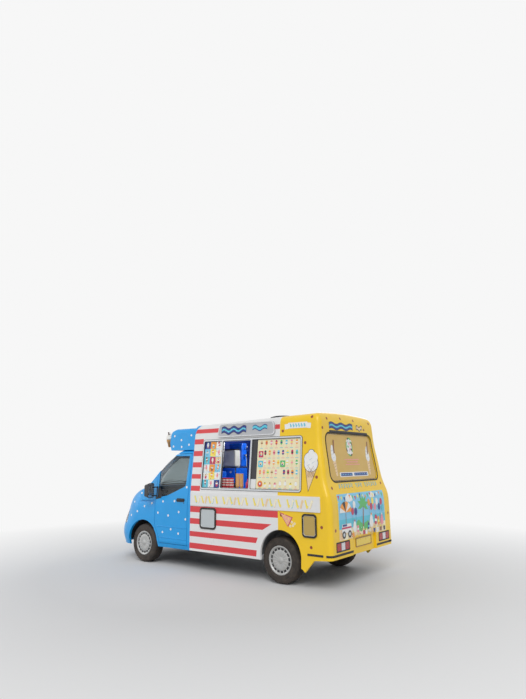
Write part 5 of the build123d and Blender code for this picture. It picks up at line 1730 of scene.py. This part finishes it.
# on the counter: a slush machine, stacks of cups and cones, sauce bottles and a mat
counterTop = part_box("serving_counter")[1].z
goods = {"machine": (0.62, 0.93, 1.56, 1.9), "cups": (2.03, 2.12, 2.21), "cones": (2.34, 2.43),
         "bottles": (2.56, 2.64, 2.72)}
x0, x1, a0, a1 = goods["machine"]
addPiece("slush_machine_base", boxMesh(x0, x1, a0, a1, counterTop + 0.0005, counterTop + 0.125),
         interiorDark, bevel=0.012, segments=3)
addPiece("slush_machine_top",
         boxMesh(x0 + 0.03, x1 - 0.02, a0 + 0.02, a1 - 0.02, counterTop + 0.125, counterTop + 0.33),
         machineBlue, bevel=0.03, segments=4)
faceFlat = Flat((x1 - 0.02, 0, 0), (0, 1, 0), (0, 0, 1))
facePlate = prismMesh(faceFlat,
                      roundedBox(aft(a0 + 0.05), aft(a1 - 0.05), counterTop + 0.2, counterTop + 0.29, 0.012,
                                 3), 0.0, 0.004)
addPiece("slush_machine_plate", facePlate, signSilver, bevel=0.001)
cupForm = [(0.0, 0.0002), (0.0, 0.03), (0.078, 0.041), (0.08, 0.043), (0.082, 0.041), (0.08, 0.038)]
cups, stripes = [], []
for distance in goods["cups"]:
    for k in range(7):
        base = counterTop + 0.0005 + k * 0.022
        (cups if k % 2 else stripes).append(turnedMesh((0.9, aft(distance), base), (0, 0, 1), cupForm, 22))
addPiece("cup_stack_white", cups, softIce, smooth=True)
addPiece("cup_stack_red", stripes, stripeRed, smooth=True)
tubes = []
for distance in goods["cones"]:
    for k in range(9):
        base = counterTop + 0.0005 + k * 0.024
        tubes.append(turnedMesh((0.89, aft(distance), base), (0, 0, 1),
                                [(0.0, 0.0002), (0.0, 0.017), (0.055, 0.024), (0.06, 0.031), (0.098, 0.034),
                                 (0.098, 0.03), (0.064, 0.022)], 18))
addPiece("cone_stacks", tubes, wafer, smooth=True)
for place, finish in zip(goods["bottles"], (sticker["berry"], chocolate, sticker["leaf"])):
    bottle = turnedMesh((0.88, aft(place), counterTop + 0.0005), (0, 0, 1),
                        [(0.0, 0.0002), (0.0, 0.03), (0.004, 0.033), (0.13, 0.033), (0.15, 0.024),
                         (0.16, 0.012), (0.205, 0.005), (0.207, 0.0002)], 20)
    addPiece(f"sauce_bottle_{int(place * 100)}", bottle, finish, smooth=True)
addPiece("counter_mat", boxMesh(0.62, 0.97, 2.0, 2.86, counterTop, counterTop + 0.0006), sticker["cloud"])
print("hatch fitted out")

# Roof vent: three thin rings round its cap
ventLow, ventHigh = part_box("roof_vent")
ventMiddle = Vector(((ventLow.x + ventHigh.x) / 2, (ventLow.y + ventHigh.y) / 2, 0))
ringParts = []
for level in (0.03, 0.048, 0.066):
    path = [(ventMiddle.x + 0.226 * cos(a * pi / 20), ventMiddle.y + 0.226 * sin(a * pi / 20),
             ventLow.z + 0.068 + level * 0.5) for a in range(40)]
    ringParts.append(tubeMesh(path, 0.004, 6, closed=True))
addPiece("roof_vent_rings", ringParts, blackPlastic, smooth=True)

# a small black aerial base on the pod over the cab
place, normal = dropOn(podSkin, Vector((0.6, aft(1.08), 3.0)), Vector((0, 0, -1)))
if place is not None:
    base = turnedMesh(place - normal * 0.002, normal,
                      [(0.0, 0.03), (0.008, 0.03), (0.014, 0.024), (0.015, 0.0002)], 22)
    addPiece("pod_fitting", base, blackPlastic, smooth=True)

# Cab seats: crowned pads with sewn channels, in the place of each seat's solid
seatTable = {"driver_seat": [(-0.71, -0.25)], "passenger_seat": [(-0.03, 0.345), (0.355, 0.73)]}
padForm = {"cuts": 20, "squareness": 4.2, "pinch": 0.04, "crown": 0.012, "channels": (-0.42, 0.42),
           "depth": 0.006, "width": 0.045}


def padMesh(half, crownAxis):
    # a box of pads: its sides pull in between the corners and its middle is crowned
    work = bmesh.new()
    bmesh.ops.create_cube(work, size=2.0)
    bmesh.ops.subdivide_edges(work, edges=work.edges[:], cuts=padForm["cuts"], use_grid_fill=True)
    power = padForm["squareness"]
    for vertex in work.verts:
        c = vertex.co
        reach = sum(abs(c[i]) ** power for i in range(3)) ** (1 / power)
        unit = c / reach
        across = [i for i in range(3) if i != crownAxis]
        rim = max(abs(c[across[0]]), abs(c[across[1]]))
        swell = padForm["crown"] * (1 - c[across[0]] ** 2) * (1 - c[across[1]] ** 2)
        pulled = 1 - padForm["pinch"] * (1 - min(abs(c[across[0]]), abs(c[across[1]])) ** 2) * (rim > 0.98)
        moved = Vector((unit.x * half[0], unit.y * half[1], unit.z * half[2]))
        moved[across[0]] *= pulled
        moved[across[1]] *= pulled
        channel = 0.0
        for place in padForm["channels"]:
            if abs(c[across[1]]) < 0.86:
                channel += padForm["depth"] * exp(-((c[across[0]] - place) / padForm["width"]) ** 2)
        moved[crownAxis] += (swell - channel) * (1 if c[crownAxis] > 0 else -1)
        vertex.co = moved
    vertices = [v.co.copy() for v in work.verts]
    faces = [[v.index for v in f.verts] for f in work.faces]
    work.free()
    return vertices, faces


def padPiece(name, centre, half, lean, crownAxis):
    vertices, faces = padMesh(half, crownAxis)
    turn = Matrix.Rotation(lean, 3, "X")
    leant = [turn @ v + Vector(centre) for v in vertices]
    piece = addPiece(name, (leant, faces), seatCloth, smooth=True)
    return piece


backLean = radians(-11)
for seatName, places in seatTable.items():
    low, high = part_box(seatName)
    rear = high.y
    shells = [prismMesh(ground,
                        roundedBox(low.x + 0.035, high.x - 0.035, low.y + 0.035, low.y + 0.44, 0.04, 4),
                        low.z, 0.775)]
    for number, (x0, x1) in enumerate(places):
        middle, half = (x0 + x1) / 2, (x1 - x0) / 2
        padPiece(f"{seatName}_cushion_{number}", (middle, low.y + 0.245, 0.848), (half, 0.232, 0.066),
                 radians(4), 2)
        padPiece(f"{seatName}_back_{number}", (middle, rear - 0.15, 1.165), (half * 0.97, 0.058, 0.268),
                 backLean, 1)
        padPiece(f"{seatName}_headrest_{number}", (middle, rear - 0.062, 1.492), (0.13, 0.042, 0.062),
                 backLean, 1)
        for x in (middle - 0.055, middle + 0.055):
            shells.append(tubeMesh([(x, rear - 0.098, 1.36), (x, rear - 0.074, 1.47)], 0.007, 8))
    frameWork = addPiece(f"{seatName}_frame", shells, cabinPlastic, bevel=0.004)
    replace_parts(frameWork, seatName)

# dashboard: dials, vents and centre stack
dashFlat = Flat((0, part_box("dashboard")[1].y, 0), (-1, 0, 0), (0, 0, 1))
dashSkin = skin("dashboard")
dashShapes = [(blackPlastic, roundedBox(0.32, 0.64, 1.1, 1.22, 0.03, 4), 0),
              disc(signSilver, 0.42, 1.16, 0.045, 20, 1), disc(signSilver, 0.55, 1.16, 0.045, 20, 1),
              disc(blackPlastic, 0.42, 1.16, 0.039, 20, 2), disc(blackPlastic, 0.55, 1.16, 0.039, 20, 2),
              (blackPlastic, roundedBox(-0.14, 0.14, 0.98, 1.2, 0.02, 4), 0),
              (lampClear, roundedBox(-0.1, 0.1, 1.13, 1.18, 0.008, 3), 1)]
for u in (-0.7, -0.3, 0.22, 0.76):
    dashShapes.append((blackPlastic, roundedBox(u - 0.055, u + 0.055, 1.17, 1.235, 0.015, 3), 0))
    for k in range(3):
        dashShapes.append((cabinPlastic,
                           roundedBox(u - 0.046, u + 0.046, 1.182 + k * 0.017, 1.189 + k * 0.017, 0.003, 2),
                           1))
artSheet("dashboard_details", dashSkin, dashFlat, dashShapes)
print("cab fitted out")

# Engine bay: a ribbed cover, side fins, an oil filler and hoses round the engine solid
engineLow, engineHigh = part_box("engine_block")
bay = {"coverHalf": 0.3, "coverFront": engineLow.y + 0.05, "coverRear": engineHigh.y - 0.05,
       "top": engineHigh.z}


def bayBox(x0, x1, y0, y1, z0, z1, radius):
    return prismMesh(ground, roundedBox(x0, x1, y0, y1, radius, 4), z0, z1)


cover = bayBox(-bay["coverHalf"], bay["coverHalf"], bay["coverFront"], bay["coverRear"], bay["top"] - 0.004,
               bay["top"] + 0.01, 0.05)
addPiece("engine_cover", cover, blackPlastic, bevel=0.006, segments=3)
ribs = [bayBox(-0.25 + k * 0.072, -0.222 + k * 0.072, bay["coverFront"] + 0.05, bay["coverRear"] - 0.05,
               bay["top"] + 0.009, bay["top"] + 0.016, 0.006) for k in range(8)]
addPiece("engine_cover_ribs", ribs, blackPlastic, bevel=0.002)
fins = []
for side in (-1, 1):
    for k in range(9):
        x0, x1 = sorted((side * (engineHigh.x - 0.002), side * (engineHigh.x + 0.012)))
        fins.append(bayBox(x0, x1, engineLow.y + 0.05 + k * 0.048, engineLow.y + 0.062 + k * 0.048,
                           engineLow.z + 0.08, engineHigh.z - 0.1, 0.002))
addPiece("engine_fins", fins, castIron, bevel=0.001)
filler = [(0.0, 0.0002), (0.0, 0.034), (0.012, 0.034), (0.016, 0.028), (0.03, 0.026), (0.032, 0.0002)]
addPiece("oil_filler",
         turnedMesh((0.12, bay["coverRear"] - 0.06, bay["top"] + 0.008), (0, 0, 1), filler, 24),
         blackPlastic)
hoses = []
for path in ([(0.33, -0.24, 0.02), (0.36, -0.14, 0.05), (0.3, -0.04, 0.045), (0.2, 0.03, 0.03)],
             [(-0.34, -0.22, 0.0), (-0.37, -0.08, 0.04), (-0.33, 0.06, 0.03), (-0.22, 0.13, 0.015)]):
    points = [Vector((x, (engineLow.y + engineHigh.y) / 2 + y, bay["top"] - 0.03 + z)) for x, y, z in path]
    fine = []
    for a, b in zip(points, points[1:]):
        fine += [a.lerp(b, k / 4) for k in range(4)]
    fine.append(points[-1])
    soft = [fine[0]] + [(fine[i - 1] + fine[i] + fine[i + 1]) / 3
                        for i in range(1, len(fine) - 1)] + [fine[-1]]
    hoses.append(tubeMesh(soft, 0.019, 10))
addPiece("engine_hoses", hoses, blackRubber, smooth=True)
print("engine dressed")

# Door cards: a dark panel, armrest and pocket on the inside of each door
card = {"front": 0.44, "rear": 1.18, "low": 0.56, "high": 1.15, "arm": (0.62, 1.05, 1.03)}
for side, word in ((1, "left"), (-1, "right")):
    doorTree = skin(f"door_{word}")
    reachTable = []
    for distance in (card["front"], (card["front"] + card["rear"]) / 2, card["rear"]):
        for height in (card["low"], 0.85, card["high"]):
            place, normal = dropOn(doorTree, Vector((side * 0.2, aft(distance), height)),
                                   Vector((side, 0, 0)))
            if place is not None:
                reachTable.append(abs(place.x))
    if len(reachTable) < 9:
        continue
    inner = min(reachTable)
    u0, u1 = sorted((-side * aft(card["front"]), -side * aft(card["rear"])))
    plateFlat = Flat((side * inner, 0, 0), (0, -side, 0), (0, 0, 1))
    made = prismMesh(plateFlat, roundedBox(u0, u1, card["low"], card["high"], 0.06, 5), -0.006, 0.01)
    addPiece(f"door_card_{word}", made, cabinPlastic, body=f"door_{word}", bevel=0.004)
    a0, a1, level = card["arm"]
    b0, b1 = sorted((-side * aft(a0), -side * aft(a1)))
    arm = prismMesh(plateFlat, roundedBox(b0, b1, level - 0.035, level + 0.025, 0.02, 4), 0.008, 0.045)
    pocket = prismMesh(plateFlat,
                       roundedBox(u0 + 0.05, u1 - 0.05, card["low"] + 0.03, card["low"] + 0.17, 0.03, 4),
                       0.008, 0.032)
    addPiece(f"door_armrest_{word}", [arm, pocket], blackPlastic, body=f"door_{word}",
             bevel=0.008, segments=3)
    pull = [(side * (inner - 0.012), aft(0.7), 1.115), (side * (inner - 0.038), aft(0.74), 1.12),
            (side * (inner - 0.038), aft(0.86), 1.12), (side * (inner - 0.012), aft(0.9), 1.115)]
    addPiece(f"door_pull_{word}", tubeMesh(pull, 0.01, 8), blackPlastic,
             body=f"door_{word}", smooth=True)
print("door cards fitted")

# Camera, light and floor
view = {"place": (7.919, 6.71, 1.853), "yaw": 3.7985, "pitch": 0.2201, "roll": -0.0094, "focal": 509.35}


def placeCamera():
    yaw, pitch, roll = view["yaw"], view["pitch"], view["roll"]
    forward = Vector((cos(yaw) * cos(pitch), sin(yaw) * cos(pitch), sin(pitch)))
    right = Vector((sin(yaw), -cos(yaw), 0))
    upward = right.cross(forward)
    across = right * cos(roll) + upward * sin(roll)
    above = upward * cos(roll) - right * sin(roll)
    lens = bpy.data.cameras.new("camera")
    lens.sensor_width = 36
    lens.lens = view["focal"] / 699 * 36
    lens.clip_end = 200
    camera = bpy.data.objects.new("camera", lens)
    scene.collection.objects.link(camera)
    turn = Matrix((across, above, -forward)).transposed().to_4x4()
    camera.matrix_world = Matrix.Translation(Vector(view["place"])) @ turn
    scene.camera = camera


placeCamera()

# a broad sun from the serving side, and soft lamps for the nose, the offside and inside the hatch
sunLight = bpy.data.lights.new("sun", "SUN")
sunLight.energy = 1.5
sunLight.angle = radians(38)
sun = bpy.data.objects.new("sun", sunLight)
sun.rotation_euler = Vector((-0.62, -0.42, -0.66)).to_track_quat("-Z", "Y").to_euler()
scene.collection.objects.link(sun)
lampTable = [  # name, place, aim, size, power
    ("nose", (4.0, -8.0, 3.5), (0.4, -1.5, 1.2), 5.0, 90),
    ("offside", (-8.0, -1.0, 4.0), (0, 0, 1.2), 5.0, 120),
    ("hatch", (0.1, aft(2.75), 2.4), (0.3, aft(1.8), 1.5), 0.5, 9),
]
for lampName, place, aim, size, power in lampTable:
    light = bpy.data.lights.new(lampName, "AREA")
    light.shape = "DISK"
    light.size = size
    light.energy = power
    lamp = bpy.data.objects.new(lampName, light)
    lamp.location = place
    lamp.rotation_euler = (Vector(aim) - Vector(place)).to_track_quat("-Z", "Y").to_euler()
    scene.collection.objects.link(lamp)


def seenBy(tree):  # 1 for the rays that see a surface, and 0 for those that light it
    rays = addNode(tree, "LightPath")
    soFar = rays.outputs["Is Camera Ray"]
    for ray in ("Is Glossy Ray", "Is Transmission Ray"):
        either = addNode(tree, "Math", operation="MAXIMUM")
        tree.links.new(soFar, either.inputs[0])
        connect(tree, rays, ray, either, 1)
        soFar = either.outputs["Value"]
    return soFar


world = bpy.data.worlds.new("studio")
scene.world = world
world.use_nodes = True
tree = world.node_tree
soft = tree.nodes["Background"]
setInputs(soft, {"Color": (0.93, 0.95, 0.98, 1), "Strength": 0.5})
plain = addNode(tree, "Background", {"Color": (0.93, 0.93, 0.93, 1), "Strength": 1.0})
mixed = addNode(tree, "MixShader")
tree.links.new(seenBy(tree), mixed.inputs["Fac"])
connect(tree, soft, "Background", mixed, 1)
connect(tree, plain, "Background", mixed, 2)
connect(tree, mixed, "Shader", tree.nodes["World Output"], "Surface")
scene.view_settings.view_transform = "Standard"

# the floor is pale near the van and fades into the backdrop further off
floorMesh = bpy.data.meshes.new("studio_floor")
floorMesh.from_pydata([(-60, -60, 0), (60, -60, 0), (60, 60, 0), (-60, 60, 0)], [], [(0, 1, 2, 3)])
floorPaint, tree, shader = newMaterial("studio floor",
                                       {"Base Color": (0.7, 0.7, 0.7, 1), "Roughness": 0.9,
                                        "Specular IOR Level": 0.05})
reach = addNode(tree, "VectorMath", operation="LENGTH")
fade = addNode(tree, "MapRange", {"From Min": 3.5, "From Max": 9.0})
glow = addNode(tree, "Emission", {"Color": (0.93, 0.93, 0.93, 1)})
blend = addNode(tree, "MixShader")
shown = addNode(tree, "Math", operation="MULTIPLY")
connect(tree, addNode(tree, "TexCoord"), "Object", reach, 0)
connect(tree, reach, "Value", fade, "Value")
connect(tree, fade, "Result", shown, 0)
tree.links.new(seenBy(tree), shown.inputs[1])
connect(tree, shown, "Value", blend, "Fac")
connect(tree, shader, "BSDF", blend, 1)
connect(tree, glow, "Emission", blend, 2)
connect(tree, blend, "Shader", tree.nodes["Material Output"], "Surface")
floorMesh.materials.append(floorPaint)
studioFloor = bpy.data.objects.new("studio_floor", floorMesh)
scene.collection.objects.link(studioFloor)
